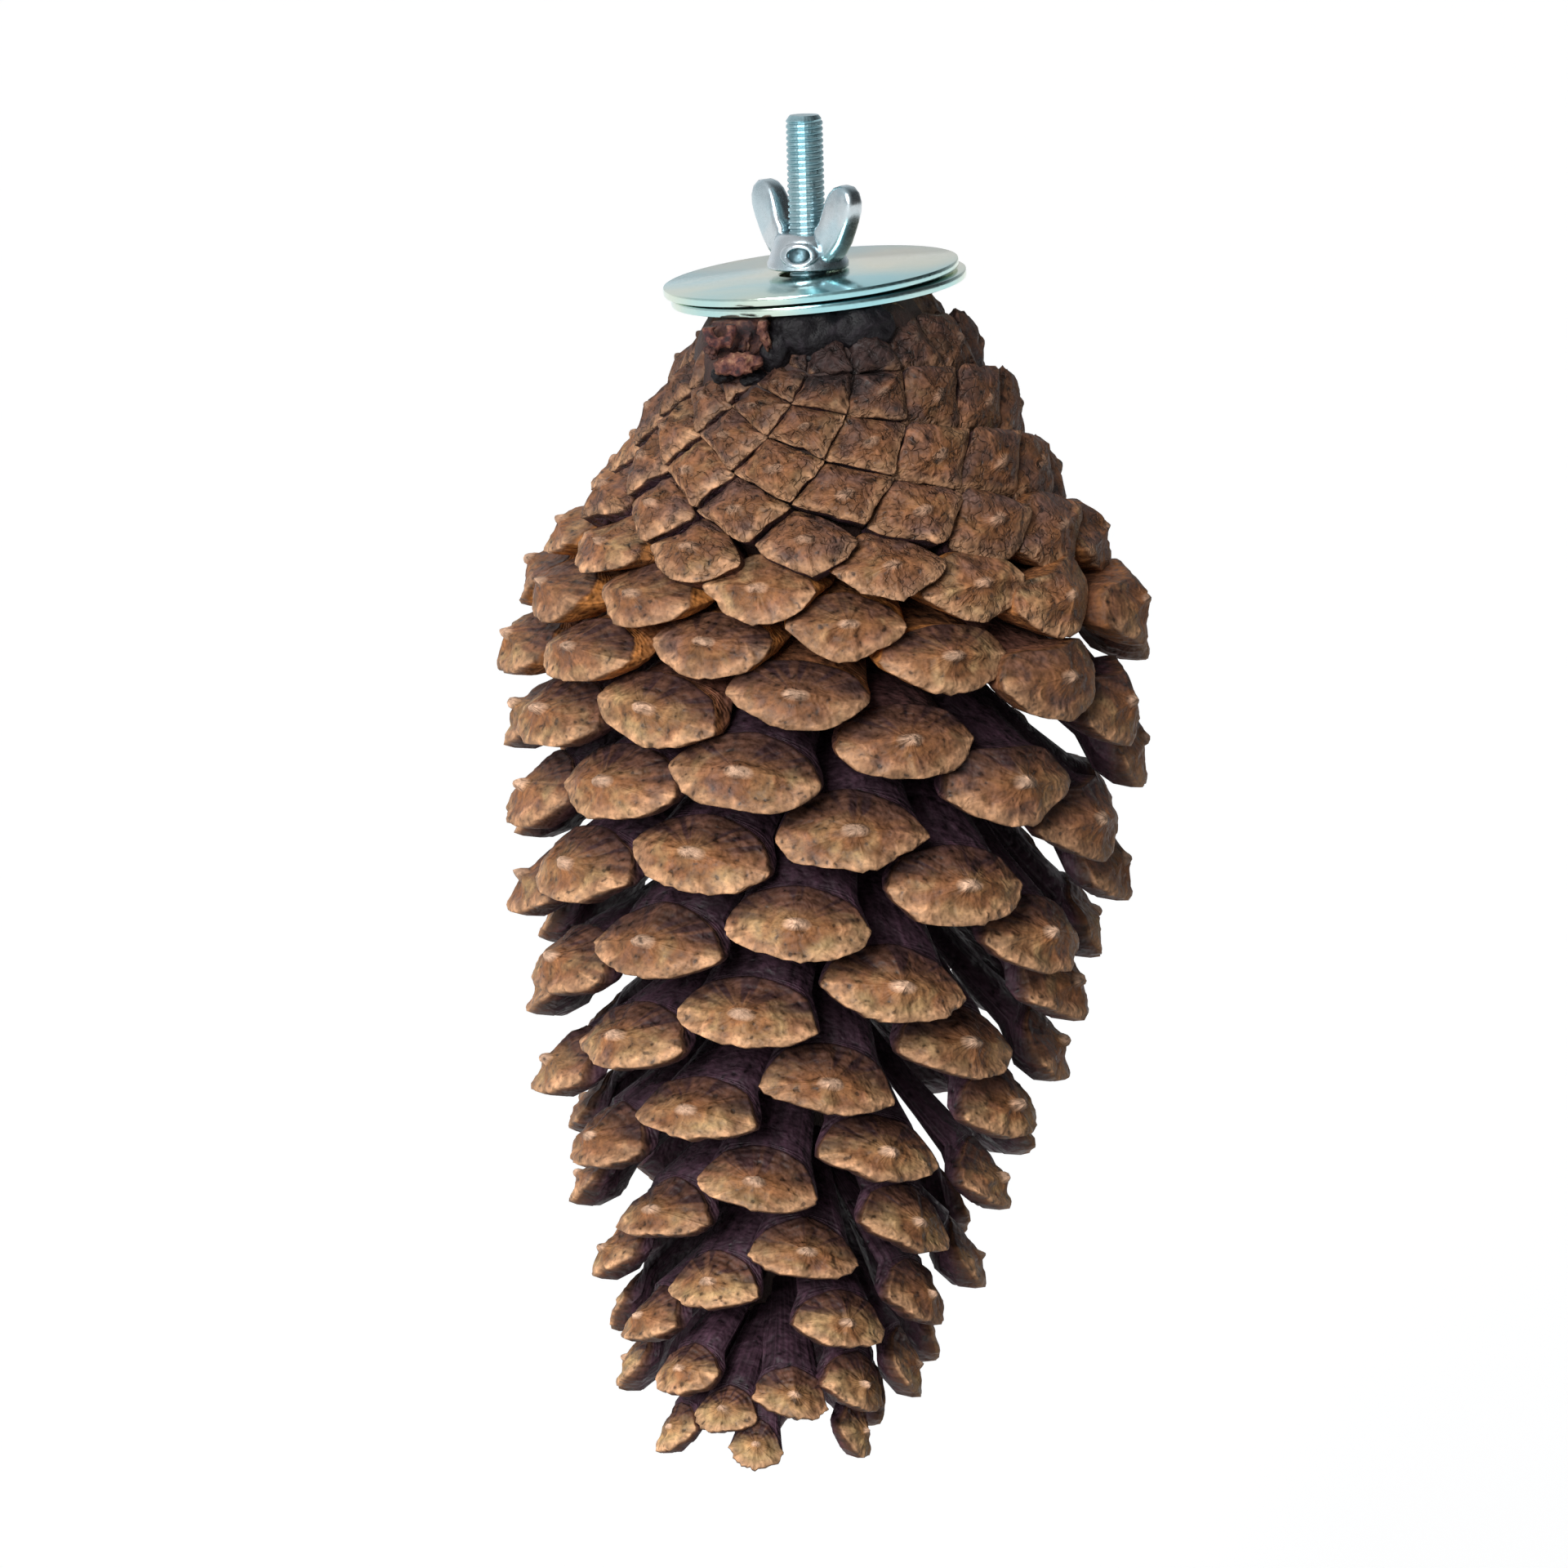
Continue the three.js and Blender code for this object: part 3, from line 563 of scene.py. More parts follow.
        # The lip is thick: from the rim the back runs square to the face before it turns to the neck
        edge = self.face_point(t, "face", 1)
        neck = round_outline(self.neck, t, BLADE_EASE)
        wall = edge - self.forward * (LIP_SHARE * (neck - edge).length)
        rest = 1 - share
        return edge * (rest * rest) + wall * (2 * share * rest) + neck * (share * share)

    def depth(self, ring, share):
        return {"boss": 0.1 * share, "face": 0.15 + 0.85 * share, "back": 1 + share, "blade": 2 + share}[ring]


def carved(spot, out):
    """A point inside the stem scar goes in, against out, to the back of the scar's hollow."""
    away = spot - SCAR_CENTRE
    rough = SCAR_RADIUS * (1 + 0.16 * noise.noise(spot * 0.55) + 0.1 * noise.noise(spot * 1.7))
    inside = rough * rough - away.length_squared
    if inside <= 0:
        return spot, smoothstep(away.length, rough + 1.6, rough)
    along_out = away.dot(out)
    return spot - out * (along_out + math.sqrt(along_out * along_out + inside)), 1


def cut_plane():
    """Point and upward normal of the sawn top, just under the lower washer."""
    turn = washer_turn()
    return turn @ Vector((0, 0, -CUT_BELOW_ORIGIN)), turn @ Vector((0, 0, 1))


def saw_off(bm):
    """Saws a mesh off at the cut top of the cone and closes the cut."""
    co, no = cut_plane()
    cut = bmesh.ops.bisect_plane(bm, geom=bm.verts[:] + bm.edges[:] + bm.faces[:], dist=1e-4,
                                 plane_co=co, plane_no=no, clear_outer=True)
    edges = [e for e in cut["geom_cut"] if isinstance(e, bmesh.types.BMEdge)]
    bmesh.ops.holes_fill(bm, edges=edges, sides=0)


def washer_turn():
    tilt = Matrix.Rotation(math.radians(-WASHER_TILT), 3, "Y")
    return tilt @ Matrix.Rotation(math.radians(WASHER_NOD), 3, "X")


def ring_ball(sides, count):
    """The plain ball whose rings become the rings of a scale, made once for each number of rings."""
    name = f"ring_ball_{sides}_{count}"
    if name not in bpy.data.meshes:
        bm = bmesh.new()
        bmesh.ops.create_uvsphere(bm, u_segments=sides, v_segments=count, radius=1)
        bm.to_mesh(bpy.data.meshes.new(name))
        bm.free()
    return bpy.data.meshes[name]


class ConeMesh:
    """A mesh of scales with the attributes that the wood material reads."""

    def __init__(self):
        self.bm = bmesh.new()
        layers = self.bm.verts.layers
        self.grain = layers.float_vector.new("grain")
        self.values = {name: layers.float.new(name) for name in ("depth", "upper", "seed", "fresh", "scar", "pale", "top", "bare")}

    def add_scale(self, scale):
        """A ball whose rings are moved to the rings of the scale."""
        count = len(scale.rings) + 1
        first = len(self.bm.verts)
        self.bm.from_mesh(ring_ball(scale.sides, count))
        self.bm.verts.ensure_lookup_table()
        n = scale.n
        block = stepped(n) * smoothstep(n, 130, 105)
        fresh = smoothstep(n, 76, 90) * smoothstep(n, 122, 100) * (1 - 0.5 * block)
        bare = (0.22 + 0.78 * smoothstep(n, 78, 112)) * (1 - 0.6 * block)
        for vert in self.bm.verts[first:]:
            x, y, z = vert.co
            level = round(math.acos(min(max(z, -1), 1)) / math.pi * count)
            turn = math.atan2(y, x) % (2 * math.pi)
            t = round(turn / (2 * math.pi) * scale.sides) / scale.sides * 8
            upper = max(-math.sin(turn), 0)
            if level == 0:
                spot, depth = scale.tip + scale.forward * scale.umbo * scale.size, 0
            elif level == count:
                spot, depth = scale.root, 3
            else:
                ring, share = scale.rings[level - 1]
                spot, depth = scale.point(t % 8, ring, share), scale.depth(ring, share)
            scar = 0
            if n <= LAST_CLOSED_SCALE:
                spot, scar = carved(spot, scale.forward)
            vert.co = spot
            vert[self.grain] = (math.cos(turn), math.sin(turn), depth)
            vert[self.values["depth"]] = depth
            vert[self.values["upper"]] = upper if depth > 0.12 else 0
            vert[self.values["top"]] = smoothstep(upper, 0.5, 0.9)
            vert[self.values["bare"]] = bare
            vert[self.values["seed"]] = n * 0.37
            vert[self.values["fresh"]] = fresh
            vert[self.values["scar"]] = scar
            # From scale 125 to 165 the scales are painted paler: painted light from below on the lower half of the cone
            vert[self.values["pale"]] = (0.5 + 0.35 * scatter(n, 7) - 0.3 * smoothstep(n, 100, 76)
                                         + 0.3 * smoothstep(n, 125, 165) + 0.7 * smoothstep(n, 180, 210))


def make_piece(name, bm, material, body, smooth=True):
    """Turns a mesh in millimetres into a finished piece of the object."""
    bmesh.ops.scale(bm, vec=(MM, MM, MM), verts=bm.verts[:])
    bmesh.ops.recalc_face_normals(bm, faces=bm.faces[:])
    for face in bm.faces:
        face.smooth = smooth
    mesh = bpy.data.meshes.new(name)
    bm.to_mesh(mesh)
    bm.free()
    mesh.materials.append(material)
    piece = bpy.data.objects.new(name, mesh)
    bpy.context.scene.collection.objects.link(piece)
    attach(piece, body)
    return piece


def add_node(tree, kind, settings=None, links=None):
    """Adds a node with its settings, and links to its inputs given as {input: (node, output)}."""
    node = tree.nodes.new(kind)
    for name, value in (settings or {}).items():
        if name == "ramp":
            elements = node.color_ramp.elements
            while len(elements) < len(value):
                elements.new(0.5)
            for element, (position, colour) in zip(elements, value):
                element.position, element.color = position, colour
        elif isinstance(name, int) or name in node.inputs:
            node.inputs[name].default_value = value
        else:
            setattr(node, name, value)
    for name, (source, output) in (links or {}).items():
        tree.links.new(source.outputs[output], node.inputs[name])
    return node


def new_material(name):
    material = bpy.data.materials.new(name)
    material.use_nodes = True
    tree = material.node_tree
    tree.nodes.clear()
    shader = add_node(tree, "ShaderNodeBsdfPrincipled")
    add_node(tree, "ShaderNodeOutputMaterial", links={"Surface": (shader, "BSDF")})
    return material, tree, shader


def pine_scale_wood(settings):
    """Dry pine scale, grown and weathered: matt woody skin, pale and worn at the umbo and the rim, with a painted
    highlight on the umbo, furrowed and dark on the upper face, orange where the scales have just parted, with painted
    shade on the blades between the scales."""
    material, tree, shader = new_material("pine_scale_wood")
    depth = add_node(tree, "ShaderNodeAttribute", {"attribute_name": "depth"})
    upper = add_node(tree, "ShaderNodeAttribute", {"attribute_name": "upper"})
    seed = add_node(tree, "ShaderNodeAttribute", {"attribute_name": "seed"})
    grain = add_node(tree, "ShaderNodeAttribute", {"attribute_name": "grain"})
    fresh = add_node(tree, "ShaderNodeAttribute", {"attribute_name": "fresh"})
    scar = add_node(tree, "ShaderNodeAttribute", {"attribute_name": "scar"})
    pale = add_node(tree, "ShaderNodeAttribute", {"attribute_name": "pale"})
    top = add_node(tree, "ShaderNodeAttribute", {"attribute_name": "top"})
    bare = add_node(tree, "ShaderNodeAttribute", {"attribute_name": "bare"})
    place = add_node(tree, "ShaderNodeTexCoord")

    # Flutes that fan out from the umbo, about 1.2 mm apart at the rim
    fan = add_node(tree, "ShaderNodeMapping", {"Scale": (5.5, 5.5, 1)}, {"Vector": (grain, "Vector")})
    flutes = add_node(tree, "ShaderNodeTexNoise", {
        "noise_dimensions": "4D", "Scale": 1, "Detail": 1, "Roughness": 0.4, "Distortion": 0.2,
    }, {"Vector": (fan, "Vector"), "W": (seed, "Fac")})
    # Stains of 5 mm, blotches of 2.5 mm, mottling of 1 mm and fine grain of 0.4 mm
    stains = add_node(tree, "ShaderNodeTexNoise", {"Scale": 200, "Detail": 2, "Roughness": 0.5, "Distortion": 0.6},
                      {"Vector": (place, "Object")})
    blotches = add_node(tree, "ShaderNodeTexNoise", {"Scale": 400, "Detail": 2, "Roughness": 0.5, "Distortion": 0.4},
                        {"Vector": (place, "Object")})
    mottle = add_node(tree, "ShaderNodeTexNoise", {"Scale": 950, "Detail": 1, "Roughness": 0.5},
                      {"Vector": (place, "Object")})
    fine = add_node(tree, "ShaderNodeTexNoise", {"Scale": 2300, "Detail": 1, "Roughness": 0.6},
                    {"Vector": (place, "Object")})

    # Worn skin: stains turn it from grey brown by orange brown to straw
    umbo, face, rim = (tuple(c) for c in (settings.umbo_and_highlight_colour, settings.face_colour, settings.rim_colour))
    # The blade colour also holds painted shade for the gaps between the scales
    blade, flank = tuple(settings.blade_and_gap_shade_colour), tuple(settings.flank_colour)
    own = add_node(tree, "ShaderNodeMath", {"operation": "MULTIPLY_ADD", 1: 0.22, 2: -0.11}, {0: (pale, "Fac")})
    stained = add_node(tree, "ShaderNodeMath", {"operation": "ADD"}, {0: (stains, "Fac"), 1: (own, 0)})
    worn = add_node(tree, "ShaderNodeValToRGB", {"ramp": [
        (0.3, linear("#76564a")), (0.42, face), (0.52, linear("#8f6240")), (0.6, linear("#99734f")),
        (0.74, linear("#a8895f")),
    ]}, {"Fac": (stained, 0)})
    wobble = add_node(tree, "ShaderNodeMath", {"operation": "MULTIPLY_ADD", 1: 0.5, 2: -0.25},
                      {0: (blotches, "Fac")})
    zone = add_node(tree, "ShaderNodeMath", {"operation": "ADD"}, {0: (depth, "Fac"), 1: (wobble, 0)})
    low_side = add_node(tree, "ShaderNodeMapRange", {"From Min": 0.3, "From Max": 0.02}, {"Value": (upper, "Fac")})
    lip = add_node(tree, "ShaderNodeMapRange", {"From Min": 0.58, "From Max": 0.96, "To Max": 0.85},
                   {"Value": (zone, 0)})
    lip_low = add_node(tree, "ShaderNodeMath", {"operation": "MULTIPLY"}, {0: (lip, 0), 1: (low_side, 0)})
    lipped = add_node(tree, "ShaderNodeMix", {"data_type": "RGBA", 7: rim}, {0: (lip_low, 0), 6: (worn, "Color")})
    # Orange brown skin under the umbo, and the pale worn umbo with a painted highlight on it
    halo = add_node(tree, "ShaderNodeMapRange", {"From Min": 0.62, "From Max": 0.3, "To Max": 0.55},
                    {"Value": (zone, 0)})
    haloed = add_node(tree, "ShaderNodeMix", {"data_type": "RGBA", 7: linear("#8c5a34")},
                      {0: (halo, 0), 6: (lipped, 2)})
    boss = add_node(tree, "ShaderNodeMapRange", {"From Min": 0.16, "From Max": 0.08, "To Max": 0.95},
                    {"Value": (depth, "Fac")})
    worn_and_lit = add_node(tree, "ShaderNodeMath", {"operation": "MULTIPLY_ADD", 1: 0.6, 2: 0.4}, {0: (bare, "Fac")})
    knob = add_node(tree, "ShaderNodeMath", {"operation": "MULTIPLY"}, {0: (boss, 0), 1: (worn_and_lit, 0)})
    umbo_highlighted = add_node(tree, "ShaderNodeMix", {"data_type": "RGBA", 7: umbo}, {0: (knob, 0), 6: (haloed, 2)})

    # Weathered upper face: brown at the umbo, then dark, with darker furrows; the ridge is almost black
    high = add_node(tree, "ShaderNodeMath", {"operation": "MULTIPLY"}, {0: (upper, "Fac"), 1: (zone, 0)})
    faded = add_node(tree, "ShaderNodeMapRange", {"From Min": 0.06, "From Max": 0.5}, {"Value": (high, 0)})
    fade = add_node(tree, "ShaderNodeMath", {"operation": "MULTIPLY"}, {0: (faded, 0), 1: (bare, "Fac")})
    weathered = add_node(tree, "ShaderNodeMix", {"data_type": "RGBA", 7: tuple(settings.upper_colour)},
                         {0: (fade, 0), 6: (umbo_highlighted, 2)})
    furrows = add_node(tree, "ShaderNodeMapRange", {"From Min": 0.52, "From Max": 0.4, "To Max": 0.75},
                       {"Value": (flutes, "Fac")})
    furrowed = add_node(tree, "ShaderNodeMath", {"operation": "MULTIPLY"}, {0: (furrows, 0), 1: (fade, 0)})
    darker = add_node(tree, "ShaderNodeMix", {"data_type": "RGBA", 7: linear("#2c1820")},
                      {0: (furrowed, 0), 6: (weathered, 2)})
    over = add_node(tree, "ShaderNodeMapRange", {"From Min": 0.78, "From Max": 1.05}, {"Value": (zone, 0)})
    on_top = add_node(tree, "ShaderNodeMath", {"operation": "MULTIPLY"}, {0: (over, 0), 1: (top, "Fac")})
    over_top = add_node(tree, "ShaderNodeMath", {"operation": "MULTIPLY"}, {0: (on_top, 0), 1: (bare, "Fac")})
    topped = add_node(tree, "ShaderNodeMix", {"data_type": "RGBA", 7: linear("#3c2523")},
                      {0: (over_top, 0), 6: (darker, 2)})
    # Behind the rim the skin turns brown and, on the blade, almost black: the blade's own dark colour, with painted
    # shade that deepens towards the root between the scales
    third = add_node(tree, "ShaderNodeMath", {"operation": "DIVIDE", 1: 3}, {0: (depth, "Fac")})
    behind_rim_shade = add_node(tree, "ShaderNodeValToRGB", {"ramp": [
        (0.33, linear("#6b4830")), (0.38, linear("#4a2f24")), (0.46, blade), (0.62, linear("#38232e")),
        (1, linear("#2e1d26")),
    ]}, {"Fac": (third, 0)})
    past = add_node(tree, "ShaderNodeMapRange", {"From Min": 1.0, "From Max": 1.06}, {"Value": (depth, "Fac")})
    shaded_behind_rim = add_node(tree, "ShaderNodeMix", {"data_type": "RGBA"},
                       {0: (past, 0), 6: (topped, 2), 7: (behind_rim_shade, "Color")})

    # Fresh orange wood on the flanks behind the rim of the parted scales
    behind = add_node(tree, "ShaderNodeMapRange", {"From Min": 1.02, "From Max": 1.14}, {"Value": (depth, "Fac")})
    inside = add_node(tree, "ShaderNodeMapRange", {"From Min": 2.6, "From Max": 1.6}, {"Value": (depth, "Fac")})
    strip = add_node(tree, "ShaderNodeMath", {"operation": "MULTIPLY"}, {0: (behind, 0), 1: (inside, 0)})
    freshness = add_node(tree, "ShaderNodeMath", {"operation": "MULTIPLY"}, {0: (strip, 0), 1: (fresh, "Fac")})
    flanked = add_node(tree, "ShaderNodeMix", {"data_type": "RGBA", 7: flank},
                       {0: (freshness, 0), 6: (shaded_behind_rim, 2)})

    # Scar and resin near the cut top
    scarred = add_node(tree, "ShaderNodeMix", {"data_type": "RGBA", 7: linear("#4b302b")},
                       {0: (scar, "Fac"), 6: (flanked, 2)})
    from_resin = add_node(tree, "ShaderNodeVectorMath", {"operation": "DISTANCE", 1: tuple(RESIN_CENTRE * MM)},
                          {0: (place, "Object")})
    ragged = add_node(tree, "ShaderNodeMath", {"operation": "MULTIPLY_ADD", 1: 0.009, 2: -0.0045},
                      {0: (blotches, "Fac")})
    reach = add_node(tree, "ShaderNodeMath", {"operation": "ADD"}, {0: (from_resin, "Value"), 1: (ragged, 0)})
    resin = add_node(tree, "ShaderNodeMapRange", {
        "From Min": RESIN_RADIUS * MM, "From Max": (RESIN_RADIUS - 2.5) * MM, "To Max": 0.93,
    }, {"Value": (reach, 0)})
    resined = add_node(tree, "ShaderNodeMix", {"data_type": "RGBA", 7: tuple(settings.resin_colour)},
                       {0: (resin, 0), 6: (scarred, 2)})

    # The top of the cone is darker, from handling and old resin
    height = add_node(tree, "ShaderNodeSeparateXYZ", links={"Vector": (place, "Object")})
    handled = add_node(tree, "ShaderNodeMapRange", {
        "From Min": -0.021, "From Max": -0.006, "To Max": 0.72}, {"Value": (height, "Z")})
    darkened = add_node(tree, "ShaderNodeMix", {"data_type": "RGBA", 7: linear("#3d2926")},
                        {0: (handled, 0), 6: (resined, 2)})

    # Fine cracks in the closed scales, and small dark pits in all
    warped = add_node(tree, "ShaderNodeVectorMath", {"operation": "MULTIPLY_ADD", 1: (0.0016, 0.0016, 0.0016)},
                      {0: (mottle, "Color"), 2: (place, "Object")})
    crack = add_node(tree, "ShaderNodeTexVoronoi", {"feature": "DISTANCE_TO_EDGE", "Scale": 620},
                     {"Vector": (warped, "Vector")})
    thin = add_node(tree, "ShaderNodeMapRange", {"From Min": 0.1, "From Max": 0.01}, {"Value": (crack, "Distance")})
    here = add_node(tree, "ShaderNodeMapRange", {"From Min": 0.62, "From Max": 0.42}, {"Value": (blotches, "Fac")})
    closed = add_node(tree, "ShaderNodeMapRange", {"From Min": 0.4, "From Max": 0.22}, {"Value": (bare, "Fac")})
    where = add_node(tree, "ShaderNodeMath", {"operation": "MULTIPLY"}, {0: (here, 0), 1: (closed, 0)})
    cracked = add_node(tree, "ShaderNodeMath", {"operation": "MULTIPLY"}, {0: (thin, 0), 1: (where, 0)})
    pits = add_node(tree, "ShaderNodeMapRange", {"From Min": 0.33, "From Max": 0.27, "To Max": 0.6},
                    {"Value": (mottle, "Fac")})
    worst = add_node(tree, "ShaderNodeMath", {"operation": "MULTIPLY_ADD", 1: 0.28}, {0: (cracked, 0), 2: (pits, 0)})
    flawless = add_node(tree, "ShaderNodeMath", {"operation": "SUBTRACT", 0: 1, "use_clamp": True}, {1: (worst, 0)})

    # Value of each scale, blotches, mottling and crinkles of the lip multiply the colour
    tone = add_node(tree, "ShaderNodeMapRange", {"From Max": 1.75, "To Min": 0.8, "To Max": 1.36},
                    {"Value": (pale, "Fac")})
    patch = add_node(tree, "ShaderNodeMapRange", {"From Min": 0.3, "From Max": 0.7, "To Min": 0.66, "To Max": 1.3},
                     {"Value": (blotches, "Fac")})
    spot = add_node(tree, "ShaderNodeMapRange", {"From Min": 0.3, "From Max": 0.7, "To Min": 0.68, "To Max": 1.3},
                    {"Value": (mottle, "Fac")})
    crinkle = add_node(tree, "ShaderNodeMapRange", {"From Min": 0.35, "From Max": 0.65, "To Min": -0.34, "To Max": 0.3},
                       {"Value": (flutes, "Fac")})
    streak = add_node(tree, "ShaderNodeMath", {"operation": "MULTIPLY_ADD", 2: 1}, {0: (crinkle, 0), 1: (lip, 0)})
    dot = add_node(tree, "ShaderNodeMapRange", {"From Min": 0.3, "From Max": 0.5, "To Min": 0.74, "To Max": 1.03},
                   {"Value": (fine, "Fac")})
    tone_patch = add_node(tree, "ShaderNodeMath", {"operation": "MULTIPLY"}, {0: (tone, 0), 1: (patch, 0)})
    streak_dot = add_node(tree, "ShaderNodeMath", {"operation": "MULTIPLY"}, {0: (streak, 0), 1: (dot, 0)})
    both = add_node(tree, "ShaderNodeMath", {"operation": "MULTIPLY"}, {0: (tone_patch, 0), 1: (streak_dot, 0)})
    spotted = add_node(tree, "ShaderNodeMath", {"operation": "MULTIPLY"}, {0: (both, 0), 1: (spot, 0)})
    shade = add_node(tree, "ShaderNodeMath", {"operation": "MULTIPLY"}, {0: (spotted, 0), 1: (flawless, 0)})
    shaded = add_node(tree, "ShaderNodeMix", {"data_type": "RGBA", "blend_type": "MULTIPLY", 0: 1},
                      {6: (darkened, 2), 7: (shade, 0)})
    tree.links.new(shaded.outputs[2], shader.inputs["Base Color"])

    # Roughness and relief: lumps, crinkles and low rings round the umbo
    rough = add_node(tree, "ShaderNodeMapRange", {"From Min": 0.3, "From Max": 0.7, "To Min": 0.52, "To Max": 0.76},
                     {"Value": (mottle, "Fac")})
    tree.links.new(rough.outputs[0], shader.inputs["Roughness"])
    shader.inputs["Specular IOR Level"].default_value = 0.35
    ring_at = add_node(tree, "ShaderNodeMath", {"operation": "MULTIPLY", 1: 34}, {0: (depth, "Fac")})
    waves = add_node(tree, "ShaderNodeMath", {"operation": "SINE"}, {0: (ring_at, 0)})
    rings = add_node(tree, "ShaderNodeMath", {"operation": "MULTIPLY"}, {0: (waves, 0), 1: (fade, 0)})
    lump_bump = add_node(tree, "ShaderNodeBump", {"Strength": 0.8, "Distance": 0.0011},
                         {"Height": (blotches, "Fac")})
    flute_bump = add_node(tree, "ShaderNodeBump", {"Strength": 0.6, "Distance": 0.0004},
                          {"Height": (flutes, "Fac"), "Normal": (lump_bump, "Normal")})
    ring_bump = add_node(tree, "ShaderNodeBump", {"Strength": 0.35, "Distance": 0.00012},
                         {"Height": (rings, 0), "Normal": (flute_bump, "Normal")})
    crack_bump = add_node(tree, "ShaderNodeBump", {"Strength": 0.7, "Distance": 0.0003, "invert": True},
                          {"Height": (cracked, 0), "Normal": (ring_bump, "Normal")})
    mottle_bump = add_node(tree, "ShaderNodeBump", {"Strength": 0.5, "Distance": 0.0004},
                           {"Height": (mottle, "Fac"), "Normal": (crack_bump, "Normal")})
    tree.links.new(mottle_bump.outputs[0], shader.inputs["Normal"])
    return material


def cone_heartwood(settings):
    """Woody core of the cone: coarse dark fibre, almost black with old resin between the scales."""
    material, tree, shader = new_material("cone_heartwood")
    place = add_node(tree, "ShaderNodeTexCoord")
    long = add_node(tree, "ShaderNodeMapping", {"Scale": (1, 1, 0.25)}, {"Vector": (place, "Object")})
    fibre = add_node(tree, "ShaderNodeTexNoise", {"Scale": 700, "Detail": 5, "Roughness": 0.65},
                     {"Vector": (long, "Vector")})
    colour = add_node(tree, "ShaderNodeValToRGB", {"ramp": [
        (0.3, linear("#22150f")), (0.55, linear("#3a2520")), (0.75, linear("#553a2e")),
    ]}, {"Fac": (fibre, "Fac")})
    tree.links.new(colour.outputs["Color"], shader.inputs["Base Color"])
    shader.inputs["Roughness"].default_value = 0.72
    bump = add_node(tree, "ShaderNodeBump", {"Strength": 0.8, "Distance": 0.0006}, {"Height": (fibre, "Fac")})
    tree.links.new(bump.outputs[0], shader.inputs["Normal"])
    return material


def torn_stem_wood(settings):
    """Broken end of the stem: torn fibres, reddish brown, with pale torn crests."""
    material, tree, shader = new_material("torn_stem_wood")
    place = add_node(tree, "ShaderNodeTexCoord")
    fibre = add_node(tree, "ShaderNodeTexNoise", {"Scale": 900, "Detail": 6, "Roughness": 0.7, "Distortion": 0.6},
                     {"Vector": (place, "Object")})
    lumps = add_node(tree, "ShaderNodeTexNoise", {"Scale": 420, "Detail": 3}, {"Vector": (place, "Object")})
    mix = add_node(tree, "ShaderNodeMath", {"operation": "MULTIPLY_ADD", 1: 0.55}, {0: (fibre, "Fac")})
    half = add_node(tree, "ShaderNodeMath", {"operation": "MULTIPLY", 1: 0.5}, {0: (lumps, "Fac")})
    tree.links.new(half.outputs[0], mix.inputs[2])
    colour = add_node(tree, "ShaderNodeValToRGB", {"ramp": [
        (0.4, linear("#1c0d10")), (0.48, linear("#4a2224")), (0.58, linear("#8a5847")), (0.7, linear("#cda07c")),
    ]}, {"Fac": (mix, 0)})
    # Painted shade: the wood is darker towards the back of the scar's hollow
    parts = add_node(tree, "ShaderNodeSeparateXYZ", links={"Vector": (place, "Object")})
    recess_shade = add_node(tree, "ShaderNodeMapRange", {
        "From Min": (SCAR_CENTRE.y - SCAR_FRONT) * MM, "From Max": (SCAR_CENTRE.y - SCAR_BACK) * MM,
        "To Min": 1, "To Max": 0.42,
    }, {"Value": (parts, "Y")})
    recess_shaded = add_node(tree, "ShaderNodeMix", {"data_type": "RGBA", "blend_type": "MULTIPLY", 0: 1},
                     {6: (colour, "Color"), 7: (recess_shade, 0)})
    tree.links.new(recess_shaded.outputs[2], shader.inputs["Base Color"])
    shader.inputs["Roughness"].default_value = 0.7
    bump = add_node(tree, "ShaderNodeBump", {"Strength": 0.9, "Distance": 0.0005}, {"Height": (mix, 0)})
    tree.links.new(bump.outputs[0], shader.inputs["Normal"])
    return material


def old_resin(settings):
    """Old pine resin with dust in it: purple black, lumpy, half matt."""
    material, tree, shader = new_material("old_resin")
    place = add_node(tree, "ShaderNodeTexCoord")
    crust = add_node(tree, "ShaderNodeTexNoise", {"Scale": 600, "Detail": 3, "Roughness": 0.6},
                     {"Vector": (place, "Object")})
    colour = add_node(tree, "ShaderNodeValToRGB", {"ramp": [
        (0.35, linear("#0b090c")), (0.55, tuple(settings.resin_colour)), (0.72, linear("#262126")),
    ]}, {"Fac": (crust, "Fac")})
    tree.links.new(colour.outputs["Color"], shader.inputs["Base Color"])
    rough = add_node(tree, "ShaderNodeMapRange", {"To Min": 0.4, "To Max": 0.75}, {"Value": (crust, "Fac")})
    tree.links.new(rough.outputs[0], shader.inputs["Roughness"])
    shader.inputs["Specular IOR Level"].default_value = 0.22
    bump = add_node(tree, "ShaderNodeBump", {"Strength": 0.8, "Distance": 0.0006}, {"Height": (crust, "Fac")})
    tree.links.new(bump.outputs[0], shader.inputs["Normal"])
    return material


